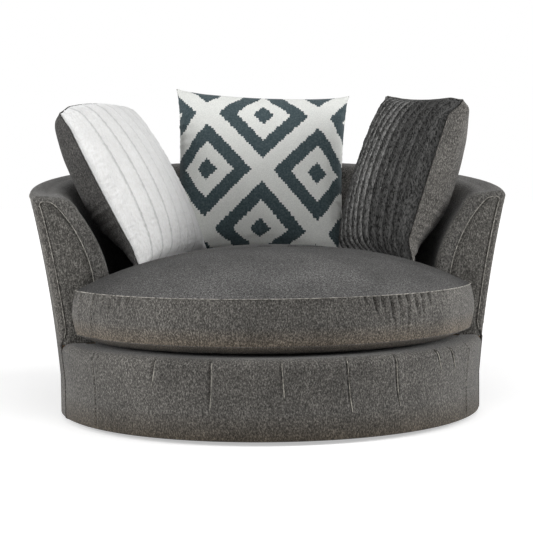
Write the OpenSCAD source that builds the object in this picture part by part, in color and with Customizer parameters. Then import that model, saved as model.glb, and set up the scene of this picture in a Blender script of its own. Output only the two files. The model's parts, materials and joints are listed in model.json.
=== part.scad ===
// Round swivel chair: a flared barrel shell on a turning base, a loose seat cushion and three loose pillows.
// Millimetres, +Z up, front towards -Y. The origin is where the swivel axis meets the floor.

/* [Shell] */
// Radius of the cover at the foot of the chair
base_r = 640; // [620:5:660]
// Radius of the cover at the flared rim
rim_r = 725; // [710:5:745]
// Height of the arm fronts
arm_h = 667; // [640:1:700]
// Height of the back at its middle
back_h = 770; // [740:1:800]
// How far the flat arm fronts stand ahead of the swivel axis
arm_front = 154; // [140:1:170]
// Clearance under the hem of the cover
hem_z = 9; // [7:1:14]
// Height at which the outer wall begins to flare
flare_z = 120; // [100:5:160]
// Part of the flare that is straight, the rest being curved
flare_line = 0.54; // [0.4:0.02:0.7]
// Width of the flat rim
rim_w = 100; // [90:1:110]
// How much lower the rim is along its inner edge
rim_drop = 13; // [8:1:16]
// Radius of the round on the rim's outer edge
rim_round = 14; // [10:1:18]
// Radius of the seat well inside the shell
well_r = 500; // [490:1:508]
// Height at which the inner wall begins to lean out
lean_z = 367; // [340:1:400]

/* [Cloth and padding] */
// Thickness of the sewn covers
cover_t = 3; // [2:0.5:4]
// Thickness of the foam on the inner wall
foam_t = 50; // [40:1:58]
// Thickness of the padding between arm front and cover
arm_pad_t = 8; // [5:1:12]
// Radius of the welt cord
welt_r = 3; // [2:0.25:4]
// Room between a curved cover and what it lies on
pad_gap = 1.6; // [1.5:0.1:2]
// Room between two pieces that lie loosely face to face
lie_gap = 0.3; // [0.2:0.05:0.5]
// Width of the front cover that turns in over the deck
turn_in = 40; // [30:1:50]
// Depth of the sewn darts in the front cover
dart_depth = 1.2; // [0.5:0.1:1.6]
// Height of the sewn darts below the seat deck
dart_h = 95; // [70:1:120]

/* [Frame] */
// Thickness of the bent board behind the outer cover
board_t = 4; // [3:0.5:5]
// Thickness of the plywood rings
ring_t = 22; // [18:1:25]
// How far the bottom ring reaches in under the seat well
bottom_ledge = 20; // [0:5:40]
// How far the deck ring reaches in under the seat well
deck_ledge = 60; // [45:5:80]
// Thickness of the ribs and the arm boards
rib_t = 18; // [15:1:22]
// Thickness of the top rail
rail_t = 22; // [18:1:26]
// Radial width of the top rail
rail_w = 28; // [24:1:30]
// Depth of the top rail below the rim
rail_deep = 20; // [18:1:24]
// Height of the lumbar rail's lower edge
lumbar_z = 330; // [310:5:345]
// Height of the lumbar rail
lumbar_h = 40; // [30:1:50]
// Radial depth of the lumbar rail
lumbar_w = 20; // [16:1:24]
// Side of the square front posts
post_w = 45; // [38:1:50]
// Number of front posts
post_count = 5; // [4:1:6]
// Thickness of the bent board behind the front cover
front_board_t = 6; // [5:0.5:8]
// Thickness of the swivel board
swivel_board_t = 18; // [15:1:22]
// Width of the swivel board
swivel_board_w = 420; // [380:5:460]
// Height of the two cross rails
cross_rail_h = 40; // [30:1:50]
// Width of the two cross rails
cross_rail_w = 45; // [35:1:55]

/* [Seat deck] */
// Height of the deck that the seat cushion lies on
deck_z = 232; // [225:1:245]
// Thickness of the deck padding
deck_pad_t = 20; // [15:1:24]
// Number of springs across the seat
spring_count = 6; // [5:1:7]
// Distance between springs
spring_pitch = 110; // [95:1:118]
// Thickness of the spring wire
spring_wire = 4; // [3:0.25:4.5]
// Half the width of a spring's bends
spring_half = 22; // [16:1:26]
// Distance from one bend of a spring to the next
spring_step = 34; // [28:1:40]
// Height of the spring clips
clip_h = 8; // [7:0.5:10]
// Length of the spring clips
clip_l = 20; // [16:1:24]

/* [Swivel base] */
// Radius of the plinth
plinth_r = 380; // [350:5:400]
// Thickness of the plinth
plinth_t = 24; // [20:1:28]
// Height of the glides
glide_h = 8; // [6:1:10]
// Radius of a glide
glide_r = 15; // [12:1:20]
// Number of glides round the plinth
glide_count = 8; // [6:1:10]
// Distance of the glides in from the plinth's edge
glide_in = 30; // [25:1:40]
// Radius of the circle that the bearing balls run on
race_r = 130; // [120:1:140]
// Half the width of the bearing plates
race_half = 22; // [20:1:26]
// Height of the whole bearing
bearing_h = 12; // [11:0.5:14]
// Gap between the bearing plates
race_gap = 3; // [2.5:0.25:4]
// Radius of a ball
ball_r = 4; // [3.5:0.25:4.25]
// Number of balls
ball_count = 24; // [18:1:28]
// Thickness of the ball cage
cage_t = 1.2; // [0.8:0.1:1.6]
// Radius of the plate screws
screw_r = 2.2; // [1.8:0.1:2.6]
// Length of the plate screws
screw_l = 14; // [11:1:16]
// Radius of the pivot bolt
bolt_r = 8; // [6:0.5:9]
// Running clearance of the pivot bolt in its bush
bolt_gap = 0.06; // [0.03:0.01:0.1]
// Wall of the pivot bush
bush_t = 3; // [2:0.5:4]

/* [Seat cushion] */
// Radius of the cushion along its front seam
cushion_r = 618; // [605:1:625]
// Room between the cushion's rear and the seat well
cushion_gap = 12; // [8:1:16]
// Room between the cushion's ears and the arm fronts
ear_gap = 10; // [8:1:14]
// Height of the lower seam above the deck
lower_seam = 30; // [24:1:36]
// Height of the boxing between the seams
boxing_h = 128; // [115:1:140]
// Rise of the crown above the upper seam
crown_h = 120; // [100:1:122]
// How far the boxing swells out at mid height
boxing_swell = 12; // [6:1:16]
// Room between the foam core and the boxing
core_in = 12; // [10:1:16]
// Half the angle that the rear zip spans
zip_half = 70; // [50:1:75]
// Height of the zip tape
zip_h = 24; // [18:1:30]
// Thickness of the zip tape
zip_t = 1.5; // [1:0.25:2]
// Radial depth of the zip slider
slider_t = 4; // [3:0.25:5]
// Length of the zip slider
slider_l = 14; // [10:1:18]

/* [Pillows] */
// Side of the middle pillow
middle_size = 600; // [580:1:610]
// Side of the two outer pillows
outer_size = 540; // [520:1:550]
// Thickness of a stuffed pillow
pillow_t = 180; // [160:1:188]
// How far the sides draw in between the corners, as a part of the half width
pillow_draw = 0.06; // [0.03:0.01:0.08]
// Number of channels on the left pillow
channel_count = 8; // [6:1:10]
// Height of the channels on the left pillow
channel_h = 5; // [2:0.5:6]
// Number of ribs on the right pillow
pile_count = 12; // [9:1:13]
// Height of the ribs on the right pillow
pile_h = 8; // [4:0.5:9]
// Distance of the left pillow's middle in from the inner wall
left_in = 177.5; // [177.5:0.5:200]
// Direction of the left pillow's middle, from +X
left_at = 157.5; // [155:0.5:160]
// Height of the left pillow's middle above the cushion's upper seam
left_rise = 303; // [303:1:330]
// Turn of the left pillow about the vertical
left_turn = 63; // [60:1:66]
// Lean of the left pillow
left_lean = 28; // [26:1:30]
// Distance of the middle pillow's middle in from the inner wall
middle_in = 128; // [128:0.5:140]
// Direction of the middle pillow's middle, from +X
middle_at = 86.5; // [86:0.5:87]
// Height of the middle pillow's middle above the cushion's upper seam
middle_rise = 329; // [329:1:350]
// Turn of the middle pillow about the vertical
middle_turn = -3; // [-4:1:-2]
// Lean of the middle pillow
middle_lean = 17; // [16:0.5:18]
// Distance of the right pillow's middle in from the inner wall
right_in = 191.5; // [188:0.5:191.5]
// Direction of the right pillow's middle, from +X
right_at = 13; // [12:0.5:14]
// Height of the right pillow's middle above the cushion's upper seam
right_rise = 321; // [321:1:340]
// Turn of the right pillow about the vertical
right_turn = -74; // [-75:1:-73]
// Lean of the right pillow
right_lean = 18.5; // [18:0.5:19.5]
// Tilt of the outer pillows in their own plane
outer_roll = 3; // [2:1:4]

/* [Hidden] */
$fn = 96;

// Ribs round the back, one node each
rib_count = 6;
// Steps round the walls, round the front cover's half and up a wall
wall_steps = 32;
front_steps = 15;
rise_steps = 7;

// Heights of the swivel base
plinth_top = glide_h + plinth_t;
base_top = plinth_top + bearing_h;
bearing_mid = plinth_top + bearing_h / 2;
plate_t = (bearing_h - race_gap) / 2;
race_clear = 0.12;
peg_r = 3;
peg_l = 10;
centre_glide_r = 26;
bolt_head_h = 9;
bolt_head_r = 13;
head_pocket_r = 15;
head_pocket_h = 10;
washer_t = 2.5;
washer_r = 16;
nut_h = 13;
screw_count = 6;
screw_off = 14;
screw_head = 2.2;

// Heights of the frame
ring_z = base_top - ring_t;
board_top = base_top + swivel_board_t;
dust_t = 1.5;
dust_gap = 12;
pad_z = deck_z - cover_t - deck_pad_t;
deck_ring_top = pad_z - clip_h;
deck_ring_z = deck_ring_top - ring_t;

// Radii of the frame
frame_inset = cover_t + board_t + 2 * pad_gap + 3 * lie_gap;
frame_r = base_r - frame_inset;
well_back_r = well_r + foam_t;
bottom_in_r = well_r - bottom_ledge;
deck_in_r = well_r - deck_ledge;
cavity_r = well_back_r - 2;
front_board_in = frame_r - front_board_t;
post_out = sqrt(pow(front_board_in - lie_gap, 2) - pow(post_w / 2, 2));
front_posts_span = 60;

// The rim's plane, which rises towards the back
rim_slope = (back_h - arm_h) / (rim_r + arm_front);
rim_tilt = atan(rim_slope);
rim_inner_round = 30;
cover_lap = 0.5 * cover_t + lie_gap;
rail_z = arm_h + rim_slope * arm_front - rail_deep;
rail_out = outer_at(arm_h - rail_deep - rail_t, arm_h) - frame_inset - 1;
rail_in = rail_out - rail_w;

// The arm fronts, from the cover's face back
arm_board_y = arm_front - cover_t - arm_pad_t;
arm_back_y = arm_board_y - rib_t;
behind_arm = arm_back_y - lie_gap;
front_y = arm_front + lie_gap;

// The front cover's edge, and its darts
front_round = 10;
front_edge_r = outer_at(deck_z - front_round, arm_h);
dart_first = -7;
dart_every = 3;
dart_last = 8;
dart_half = 0.12;

// The seat cushion
cushion_z = deck_z + lie_gap;
low_seam_z = cushion_z + lower_seam;
high_seam_z = low_seam_z + boxing_h;
cushion_rear_r = well_r - cushion_gap;
ear_y = arm_front + 2 * welt_r + ear_gap;
crown_y = ear_y + 15;
ear_round = 26;
ear_turn = 2.6;
front_points = 24;
rear_points = 18;
dish_from = 0.92;
crown_power = 2.5;
crown_rings = [0.25, 0.5, 0.7, 0.85, 0.94, 1];
topper_rings = [0.25, 0.5, 0.7, 0.85, 0.94, 0.965];
dish_rings = [0.92, 0.95, 0.98, 1];
seat_welt_r = welt_r;
zip_z = (low_seam_z + high_seam_z) / 2;
slider_h = 10;
slider_rest = 3;

// The pillows
cloth_t = 3;
puff_power = 0.45;
puff_steps = 12;
rib_samples = 3;
fill_scale = 0.95;
fill_edge = 1.5;

// The springs
spring_z = deck_ring_top + (clip_h - spring_wire) / 2;
clip_w = 30;

// Colours
body_cloth = [0.36, 0.35, 0.34];
ply = [0.80, 0.68, 0.50];
steel = [0.62, 0.63, 0.65];
foam = [0.92, 0.89, 0.80];
wadding = [0.94, 0.94, 0.92];
white_fur = [0.93, 0.92, 0.90];
dark_fur = [0.30, 0.30, 0.31];
print_cloth = [0.60, 0.64, 0.66];

// Radius of the outer wall at height z, where the rim is at height top
function outer_at(z, top) =
    let (s = max(0, (z - flare_z) / (top - flare_z)))
    base_r + (rim_r - base_r) * s * (flare_line + (1 - flare_line) * s);

// Radius of the inner wall at height z, where the rim is at height top
function inner_at(z, top) =
    let (s = max(0, (z - lean_z) / (top - lean_z)))
    well_r + (rim_r - rim_w - well_r) * s * s;

// Angle of a point at radius r and share t of the way round, between ends cut flat at y = -front
function wall_angle(r, t, front) = let (cut = asin(front / r)) -cut + (180 + 2 * cut) * t;

// Height of the rim at an angle
function rim_top(a) = arm_h + rim_slope * (rim_r * sin(a) + arm_front);

function reversed(list) = [for (i = [len(list) - 1 : -1 : 0]) list[i]];

function unit(v) = v / norm(v);

// A path moved sideways by d, to the right of its own direction
function beside(path, d) = [
    for (i = [0 : len(path) - 1])
        let (
            a = unit(path[max(1, i)] - path[max(1, i) - 1]),
            b = unit(path[min(len(path) - 1, i + 1)] - path[min(len(path) - 1, i + 1) - 1]),
            m = [a[1], -a[0]],
            n = [b[1], -b[0]]
        )
        path[i] + d * (m + n) / (1 + m * n)
];

// The closed section of a sheet of thickness t whose outer face follows a path
function sheet(path, t) = concat(path, reversed(beside(path, -t)));

// A section of [radius, height] points set round the wall at share t
function set_round(section, t, front) = [
    for (p = section)
        let (a = wall_angle(p[0], t, front))
        [p[0] * cos(a), p[0] * sin(a), p[1]]
];

// Outer wall from one height to another
function outer_path(low, high, top) = [
    for (i = [0 : rise_steps])
        let (z = low + (high - low) * i / rise_steps)
        [outer_at(z, top), z]
];

// Over the rim, from its outer edge to the head of the inner wall
function rim_path(top) = [
    [outer_at(top - rim_round, top), top - rim_round],
    [outer_at(top - rim_round, top) - 0.3 * rim_round, top - 0.3 * rim_round],
    [outer_at(top - rim_round, top) - rim_round, top],
    [rim_r - 0.55 * rim_w, top - 0.4 * rim_drop],
    [rim_r - 0.95 * rim_w, top - rim_drop],
    let (z = top - rim_drop - 0.35 * rim_inner_round) [inner_at(z, top) + 3, z]
];

// Down the inner wall, from its head to a height
function inner_path(low, top) = [
    for (i = [0 : rise_steps])
        let (high = top - rim_drop - rim_inner_round, z = high + (low - high) * i / rise_steps)
        [inner_at(z, top), z]
];

// A solid through rings of points, each a closed loop of as many points, with flat ends
module sweep(rings) {
    m = len(rings[0]);
    last = (len(rings) - 1) * m;
    sides = [
        for (i = [0 : len(rings) - 2], j = [0 : m - 1])
            let (a = i * m + j, b = i * m + (j + 1) % m)
            each [[a, b, b + m], [a, b + m, a + m]]
    ];
    start = [
        for (j = [0 : m / 2 - 2])
            each [[j, m - 2 - j, j + 1], [j, m - 1 - j, m - 2 - j]]
    ];
    finish = [for (f = start) [f[0] + last, f[2] + last, f[1] + last]];
    polyhedron([for (ring = rings) each ring], concat(sides, start, finish));
}

// A solid between two poles, through closed rings of as many points each
module pebble(first, rings, final) {
    m = len(rings[0]);
    n = len(rings) * m;
    first_fan = [for (j = [0 : m - 1]) [0, 1 + (j + 1) % m, 1 + j]];
    sides = [
        for (i = [0 : len(rings) - 2], j = [0 : m - 1])
            let (a = 1 + i * m + j, b = 1 + i * m + (j + 1) % m)
            each [[a, b, b + m], [a, b + m, a + m]]
    ];
    final_fan = [for (j = [0 : m - 1]) [n + 1, n - m + 1 + j, n - m + 1 + (j + 1) % m]];
    polyhedron(
        concat([first], [for (ring = rings) each ring], [final]),
        concat(first_fan, sides, final_fan)
    );
}

// Everything with y below -front
module ahead_of(front) {
    translate([-rim_r * 2, -rim_r * 4 - front, -1]) cube([rim_r * 4, rim_r * 4, back_h * 2]);
}

// A flat ring
module ring(outer, inner, h) {
    difference() {
        cylinder(r = outer, h = h);
        translate([0, 0, -1]) cylinder(r = inner, h = h + 2);
    }
}

// The plan of a piece with a wide round front and a narrower round rear
module well_plan(front_radius, rear_radius, y) {
    circle(r = rear_radius);
    intersection() {
        circle(r = front_radius);
        translate([-rim_r, -rim_r * 2 - y]) square([rim_r * 2, rim_r * 2]);
    }
}

// Swivel base

module glides() {
    color("whitesmoke") {
        cylinder(r = centre_glide_r, h = glide_h);
        for (i = [0 : glide_count - 1])
            rotate([0, 0, 360 * (i + 0.5) / glide_count])
                translate([plinth_r - glide_in, 0, 0]) {
                    cylinder(r = glide_r, h = glide_h);
                    translate([0, 0, glide_h / 2]) cylinder(r = peg_r, h = glide_h / 2 + peg_l);
                }
    }
}

module plinth() {
    color(ply)
        translate([0, 0, glide_h])
            difference() {
                cylinder(r = plinth_r, h = plinth_t);
                translate([0, 0, -1]) cylinder(r = bolt_r + bolt_gap, h = plinth_t + 2);
                translate([0, 0, -1]) cylinder(r = head_pocket_r, h = head_pocket_h + 1);
                for (i = [0 : glide_count - 1])
                    rotate([0, 0, 360 * (i + 0.5) / glide_count])
                        translate([plinth_r - glide_in, 0, -1]) cylinder(r = peg_r, h = peg_l + 1);
                for (i = [0 : screw_count - 1])
                    rotate([0, 0, 360 * i / screw_count])
                        translate([race_r + screw_off, 0, plinth_t + plate_t - screw_l])
                            cylinder(r = screw_r, h = screw_l + 1);
            }
}

// A countersunk screw with the top of its head at the origin, pointing down
module screw(extra) {
    translate([0, 0, -screw_l]) cylinder(r = screw_r + extra, h = screw_l);
    translate([0, 0, -screw_head])
        cylinder(r1 = screw_r + extra, r2 = screw_r + screw_head + extra, h = screw_head);
}

// One bearing plate lying on z = 0, its groove and its screw heads on top
module bearing_plate(screw_at) {
    difference() {
        ring(race_r + race_half, race_r - race_half, plate_t);
        translate([0, 0, bearing_h / 2])
            rotate_extrude() translate([race_r, 0]) circle(r = ball_r + race_clear);
        for (i = [0 : screw_count - 1])
            rotate([0, 0, 360 * i / screw_count])
                translate([screw_at, 0, plate_t]) {
                    screw(0.1);
                    translate([0, 0, -0.01]) cylinder(r = screw_r + screw_head + 0.1, h = 1);
                }
    }
}

module bearing_lower() {
    color(steel) translate([0, 0, plinth_top]) bearing_plate(race_r + screw_off);
}

module bearing_upper() {
    color(steel) translate([0, 0, base_top]) mirror([0, 0, 1]) bearing_plate(race_r - screw_off);
}

module lower_screws() {
    color("silver")
        for (i = [0 : screw_count - 1])
            rotate([0, 0, 360 * i / screw_count])
                translate([race_r + screw_off, 0, plinth_top + plate_t]) screw(0);
}

module upper_screws() {
    color("silver")
        for (i = [0 : screw_count - 1])
            rotate([0, 0, 360 * i / screw_count])
                translate([race_r - screw_off, 0, base_top - plate_t]) mirror([0, 0, 1]) screw(0);
}

module pivot_bolt() {
    head_top = glide_h + head_pocket_h;
    color(steel) {
        translate([0, 0, head_top - bolt_head_h]) cylinder(r = bolt_head_r, h = bolt_head_h, $fn = 6);
        translate([0, 0, head_top - 1])
            cylinder(r = bolt_r, h = board_top + lie_gap + washer_t + nut_h + 4 - head_top);
    }
}

module pivot_nut() {
    washer_z = board_top + lie_gap;
    color("silver")
        translate([0, 0, washer_z]) {
            ring(washer_r, bolt_r + bolt_gap, washer_t);
            translate([0, 0, washer_t])
                difference() {
                    cylinder(r = bolt_head_r, h = nut_h, $fn = 6);
                    translate([0, 0, -1]) cylinder(r = bolt_r + bolt_gap, h = nut_h + 2);
                }
        }
}

module pivot_bush() {
    color("tan")
        translate([0, 0, base_top])
            ring(bolt_r + bolt_gap + bush_t, bolt_r + bolt_gap, swivel_board_t);
}

module ball_cage() {
    color("goldenrod")
        translate([0, 0, bearing_mid - cage_t / 2])
            difference() {
                ring(race_r + 2 * ball_r, race_r - 2 * ball_r, cage_t);
                for (i = [0 : ball_count - 1])
                    rotate([0, 0, 360 * i / ball_count])
                        translate([race_r, 0, -1]) cylinder(r = ball_r + 0.2, h = cage_t + 2);
            }
}

module bearing_balls() {
    color("silver")
        for (i = [0 : ball_count - 1])
            rotate([0, 0, 360 * i / ball_count])
                translate([race_r, 0, bearing_mid]) sphere(r = ball_r);
}

// Frame

module swivel_board() {
    half_l = sqrt(pow(cavity_r, 2) - pow(swivel_board_w / 2, 2));
    color(ply)
        translate([0, 0, base_top])
            difference() {
                translate([-half_l, -swivel_board_w / 2, 0])
                    cube([half_l * 2, swivel_board_w, swivel_board_t]);
                translate([0, 0, -1]) cylinder(r = bolt_r + bolt_gap + bush_t, h = swivel_board_t + 2);
                for (i = [0 : screw_count - 1])
                    rotate([0, 0, 360 * i / screw_count])
                        translate([race_r - screw_off, 0, -1])
                            cylinder(r = screw_r, h = screw_l - plate_t + 1);
            }
}

module cross_rails() {
    rail_y = swivel_board_w / 2 - cross_rail_w;
    half_l = sqrt(pow(cavity_r, 2) - pow(swivel_board_w / 2, 2));
    color(ply)
        for (side = [-1, 1])
            translate([-half_l, side * (rail_y + cross_rail_w / 2) - cross_rail_w / 2, board_top])
                cube([half_l * 2, cross_rail_w, cross_rail_h]);
}

module bottom_ring() {
    color(ply) translate([0, 0, ring_z]) ring(frame_r, bottom_in_r, ring_t);
}

module dust_cover() {
    color("black") translate([0, 0, ring_z - dust_t]) ring(frame_r, plinth_r + dust_gap, dust_t);
}

module deck_ring() {
    color(ply)
        translate([0, 0, deck_ring_z])
            difference() {
                linear_extrude(ring_t) well_plan(front_board_in - lie_gap, well_back_r, front_y);
                translate([0, 0, -1]) cylinder(r = deck_in_r, h = ring_t + 2);
            }
}

module front_posts() {
    color(ply)
        for (i = [0 : post_count - 1])
            rotate([0, 0, -90 - front_posts_span + 2 * front_posts_span * i / (post_count - 1)])
                translate([post_out - post_w, -post_w / 2, base_top])
                    cube([post_w, post_w, deck_ring_z - base_top]);
}

// Everything under the top rail
module under_rail() {
    translate([0, 0, rail_z])
        rotate([rim_tilt, 0, 0])
            translate([-rim_r * 2, -rim_r * 2, -rail_t - back_h * 2])
                cube([rim_r * 4, rim_r * 4, back_h * 2]);
}

// A band round the back at the lumbar rail's height, in to a radius
module lumbar_band(inner) {
    translate([0, 0, lumbar_z]) ring(well_back_r + pad_gap + lumbar_w, inner, lumbar_h);
}

module rib(i) {
    a = wall_angle(rim_r, i / (rib_count + 1), arm_front);
    top = rim_top(a);
    outer = [for (p = outer_path(base_top, top, top)) p - [frame_inset, 0]];
    down = [for (p = inner_path(deck_ring_top + lie_gap, top)) p + [foam_t + lie_gap, 0]];
    inner = concat([[down[0][0], top]], down, [[well_back_r + lie_gap, base_top]]);
    color(ply)
        difference() {
            intersection() {
                rotate([0, 0, a])
                    rotate([90, 0, 0])
                        linear_extrude(rib_t, center = true) polygon(concat(outer, inner));
                under_rail();
            }
            lumbar_band(well_r);
        }
}

module rib_1() { rib(1); }
module rib_2() { rib(2); }
module rib_3() { rib(3); }
module rib_4() { rib(4); }
module rib_5() { rib(5); }
module rib_6() { rib(6); }

module top_rail() {
    color(ply)
        difference() {
            translate([0, 0, rail_z])
                rotate([rim_tilt, 0, 0])
                    translate([0, 0, -rail_t]) ring(rail_out, rail_in, rail_t);
            ahead_of(behind_arm);
        }
}

module lumbar_rail() {
    color(ply)
        difference() {
            lumbar_band(well_back_r + pad_gap);
            ahead_of(behind_arm);
        }
}

// Outline of the arm front drawn in by d, clear of the covers between two distances ahead of the axis
function arm_outline(low_outer, low_inner, d, near, far) =
    let (
        over = rim_path(arm_h),
        path = concat(
            outer_path(low_outer, arm_h - rim_round, arm_h),
            [for (i = [1 : 5]) over[i]],
            inner_path(low_inner, arm_h)
        ),
        moved = beside(path, -d)
    )
    [
        for (i = [0 : len(moved) - 1])
            let (y = i < rise_steps + 4 ? far : near)
            [sqrt(pow(moved[i][0], 2) - y * y), moved[i][1]]
    ];

// A flat piece of the arm front between two distances ahead of the axis
module arm_slab(outline, near, far) {
    translate([0, -near, 0]) rotate([90, 0, 0]) linear_extrude(far - near) polygon(outline);
}

module arm_board(side) {
    low = deck_ring_top + lie_gap;
    foot = sqrt(pow(well_back_r + lie_gap, 2) - pow(arm_back_y, 2));
    outline = concat(
        arm_outline(base_top, low, cover_t + pad_gap + lie_gap, arm_back_y, arm_board_y),
        [[foot, low], [foot, base_top]]
    );
    color(ply) mirror([side < 0 ? 1 : 0, 0, 0]) arm_slab(outline, arm_back_y, arm_board_y);
}

module arm_board_right() { arm_board(1); }
module arm_board_left() { arm_board(-1); }

module arm_pads() {
    outline = arm_outline(deck_z, deck_z, cover_t + pad_gap + lie_gap, arm_board_y, arm_front - cover_t);
    color(foam)
        for (side = [0, 1])
            mirror([side, 0, 0]) arm_slab(outline, arm_board_y, arm_front - cover_t);
}

module arm_cover(side) {
    outline = arm_outline(deck_z, deck_z, cover_t + 2 * lie_gap, arm_front - cover_t, arm_front);
    color(body_cloth)
        mirror([side < 0 ? 1 : 0, 0, 0]) arm_slab(outline, arm_front - cover_t, arm_front);
}

module arm_cover_right() { arm_cover(1); }
module arm_cover_left() { arm_cover(-1); }

// A welt along the seam of an arm front
module arm_welt() {
    foot = deck_z + welt_r;
    path = arm_outline(foot, foot, cover_t, arm_front, arm_front);
    out = beside(path, 1);
    sweep([
        for (i = [0 : len(path) - 1])
            let (n = unit(out[i] - path[i]))
            [
                for (a = [0 : 60 : 300])
                    let (p = path[i] + welt_r * cos(a) * n)
                    [p[0], -front_y - welt_r - welt_r * sin(a), p[1]]
            ]
    ]);
}

module arm_welts() {
    color([0.45, 0.44, 0.42]) {
        arm_welt();
        mirror([1, 0, 0]) arm_welt();
    }
}

module seat_springs() {
    color("dimgray")
        for (i = [0 : spring_count - 1]) {
            x = (i - (spring_count - 1) / 2) * spring_pitch;
            reach = spring_reach(x);
            bends = ceil(2 * reach / spring_step);
            line = [
                for (k = [0 : bends])
                    let (y = -reach + 2 * reach * k / bends, s = k % 2 == 0 ? spring_half : -spring_half)
                    each [[x + s, y], [x - s, y]]
            ];
            translate([0, 0, spring_z])
                linear_extrude(spring_wire)
                    polygon(concat(beside(line, spring_wire / 2), reversed(beside(line, -spring_wire / 2))));
        }
}

// Distance of a spring's end bar from the middle of the seat
function spring_reach(x) = sqrt(pow(deck_in_r, 2) - pow(abs(x) - clip_w / 2, 2)) + clip_l / 2;

module spring_clip() {
    slot = spring_wire + lie_gap;
    difference() {
        translate([-clip_w / 2, -clip_l / 2, 0]) cube([clip_w, clip_l, clip_h]);
        translate([-clip_w / 2 - 1, -clip_l, (clip_h - slot) / 2])
            cube([clip_w + 2, clip_l + slot / 2, slot]);
    }
}

module spring_clips() {
    color(steel)
        for (i = [0 : spring_count - 1], turn = [0, 180])
            let (x = (i - (spring_count - 1) / 2) * spring_pitch)
            rotate([0, 0, turn]) translate([x, spring_reach(x), deck_ring_top]) spring_clip();
}

// Seat deck and front

module deck_pad() {
    front_radius = outer_at(pad_z, arm_h) - front_round - lie_gap;
    color(wadding)
        translate([0, 0, pad_z])
            linear_extrude(deck_pad_t) well_plan(front_radius, well_r - pad_gap, front_y);
}

module deck_cover() {
    color(body_cloth)
        translate([0, 0, deck_z - cover_t])
            linear_extrude(cover_t)
                well_plan(front_edge_r - turn_in - pad_gap, well_r - pad_gap, front_y);
}

module front_board() {
    color(ply)
        intersection() {
            translate([0, 0, base_top]) ring(frame_r, front_board_in, deck_ring_top - base_top);
            ahead_of(front_y);
        }
}

module front_pad() {
    profile = concat(
        [for (p = outer_path(ring_z, pad_z - lie_gap, arm_h)) p - [cover_t + pad_gap, 0]],
        [[frame_r + lie_gap, pad_z - lie_gap], [frame_r + lie_gap, ring_z]]
    );
    color(wadding)
        intersection() {
            rotate_extrude() polygon(profile);
            ahead_of(front_y);
        }
}

// Front face of the front cover, up and over the edge of the deck
function front_path() = concat(
    [
        for (i = [0 : 4])
            let (z = hem_z + (deck_z - front_round - hem_z) * i / 4)
            [outer_at(z, arm_h), z]
    ],
    [
        for (a = [30 : 30 : 90])
            [front_edge_r - front_round, deck_z - front_round] + front_round * [cos(a), sin(a)]
    ],
    [[front_edge_r - turn_in, deck_z]]
);

function is_dart(i) = i >= dart_first && i <= dart_last && (i - dart_first) % dart_every == 0;

module front_cover() {
    section = sheet(front_path(), cover_t);
    steps = [
        for (i = [-front_steps : front_steps])
            each is_dart(i) ? [[i - dart_half, 0], [i, dart_depth], [i + dart_half, 0]] : [[i, 0]]
    ];
    color(body_cloth)
        sweep([
            for (s = steps)
                [
                    for (p = section)
                        let (
                            span = 90 - asin(front_y / p[0]),
                            a = 270 + span * s[0] / front_steps,
                            r = p[0] - s[1] * (p[1] > deck_z - dart_h ? 1 : 0),
                            y = abs(s[0]) == front_steps ? -front_y : r * sin(a)
                        )
                        [r * cos(a), y, p[1]]
                ]
        ]);
}

// Shell covers and foam

module outer_cover() {
    color(body_cloth)
        sweep([
            for (i = [0 : wall_steps])
                let (t = i / wall_steps, top = rim_top(wall_angle(rim_r, t, arm_front)))
                set_round(sheet(outer_path(hem_z, top - rim_round - cover_lap, top), cover_t), t, arm_front)
        ]);
}

module outer_board() {
    color([0.55, 0.42, 0.28])
        sweep([
            for (i = [0 : wall_steps])
                let (
                    t = i / wall_steps,
                    top = rim_top(wall_angle(rim_r, t, behind_arm)),
                    face = beside(outer_path(ring_z, top - rail_deep, top), -cover_t - pad_gap)
                )
                set_round(sheet(face, board_t), t, behind_arm)
        ]);
}

module inner_cover() {
    low = deck_ring_top + lie_gap;
    color(body_cloth)
        sweep([
            for (i = [0 : wall_steps])
                let (
                    t = i / wall_steps,
                    top = rim_top(wall_angle(rim_r, t, arm_front)),
                    face = concat(rim_path(top), inner_path(low, top))
                )
                set_round(sheet(face, cover_t), t, arm_front)
        ]);
}

// Section of the foam: its face lies under the inner cover, its back against the frame
function foam_section(low, top) =
    let (
        over = rim_path(top),
        down = inner_path(low, top),
        face = beside(concat([for (i = [2 : 5]) over[i]], down), -cover_t - pad_gap),
        rail_top = top - rail_deep + pad_gap,
        rail_face = rail_in * cos(rim_tilt) - pad_gap,
        back = concat(
            [
                [rail_out - rim_round, rail_top],
                [rail_in + rail_w / 3, rail_top],
                [rail_face, rail_top],
                [rail_face, top - rail_deep - rail_t / 2]
            ],
            [for (p = down) p + [foam_t, 0]]
        )
    )
    concat(face, reversed(back));

module back_foam() {
    low = deck_ring_top + lie_gap;
    color(foam)
        sweep([
            for (i = [0 : wall_steps])
                let (t = i / wall_steps, top = rim_top(wall_angle(rim_r, t, behind_arm)))
                set_round(foam_section(low, top), t, behind_arm)
        ]);
}

// Seat cushion

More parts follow.
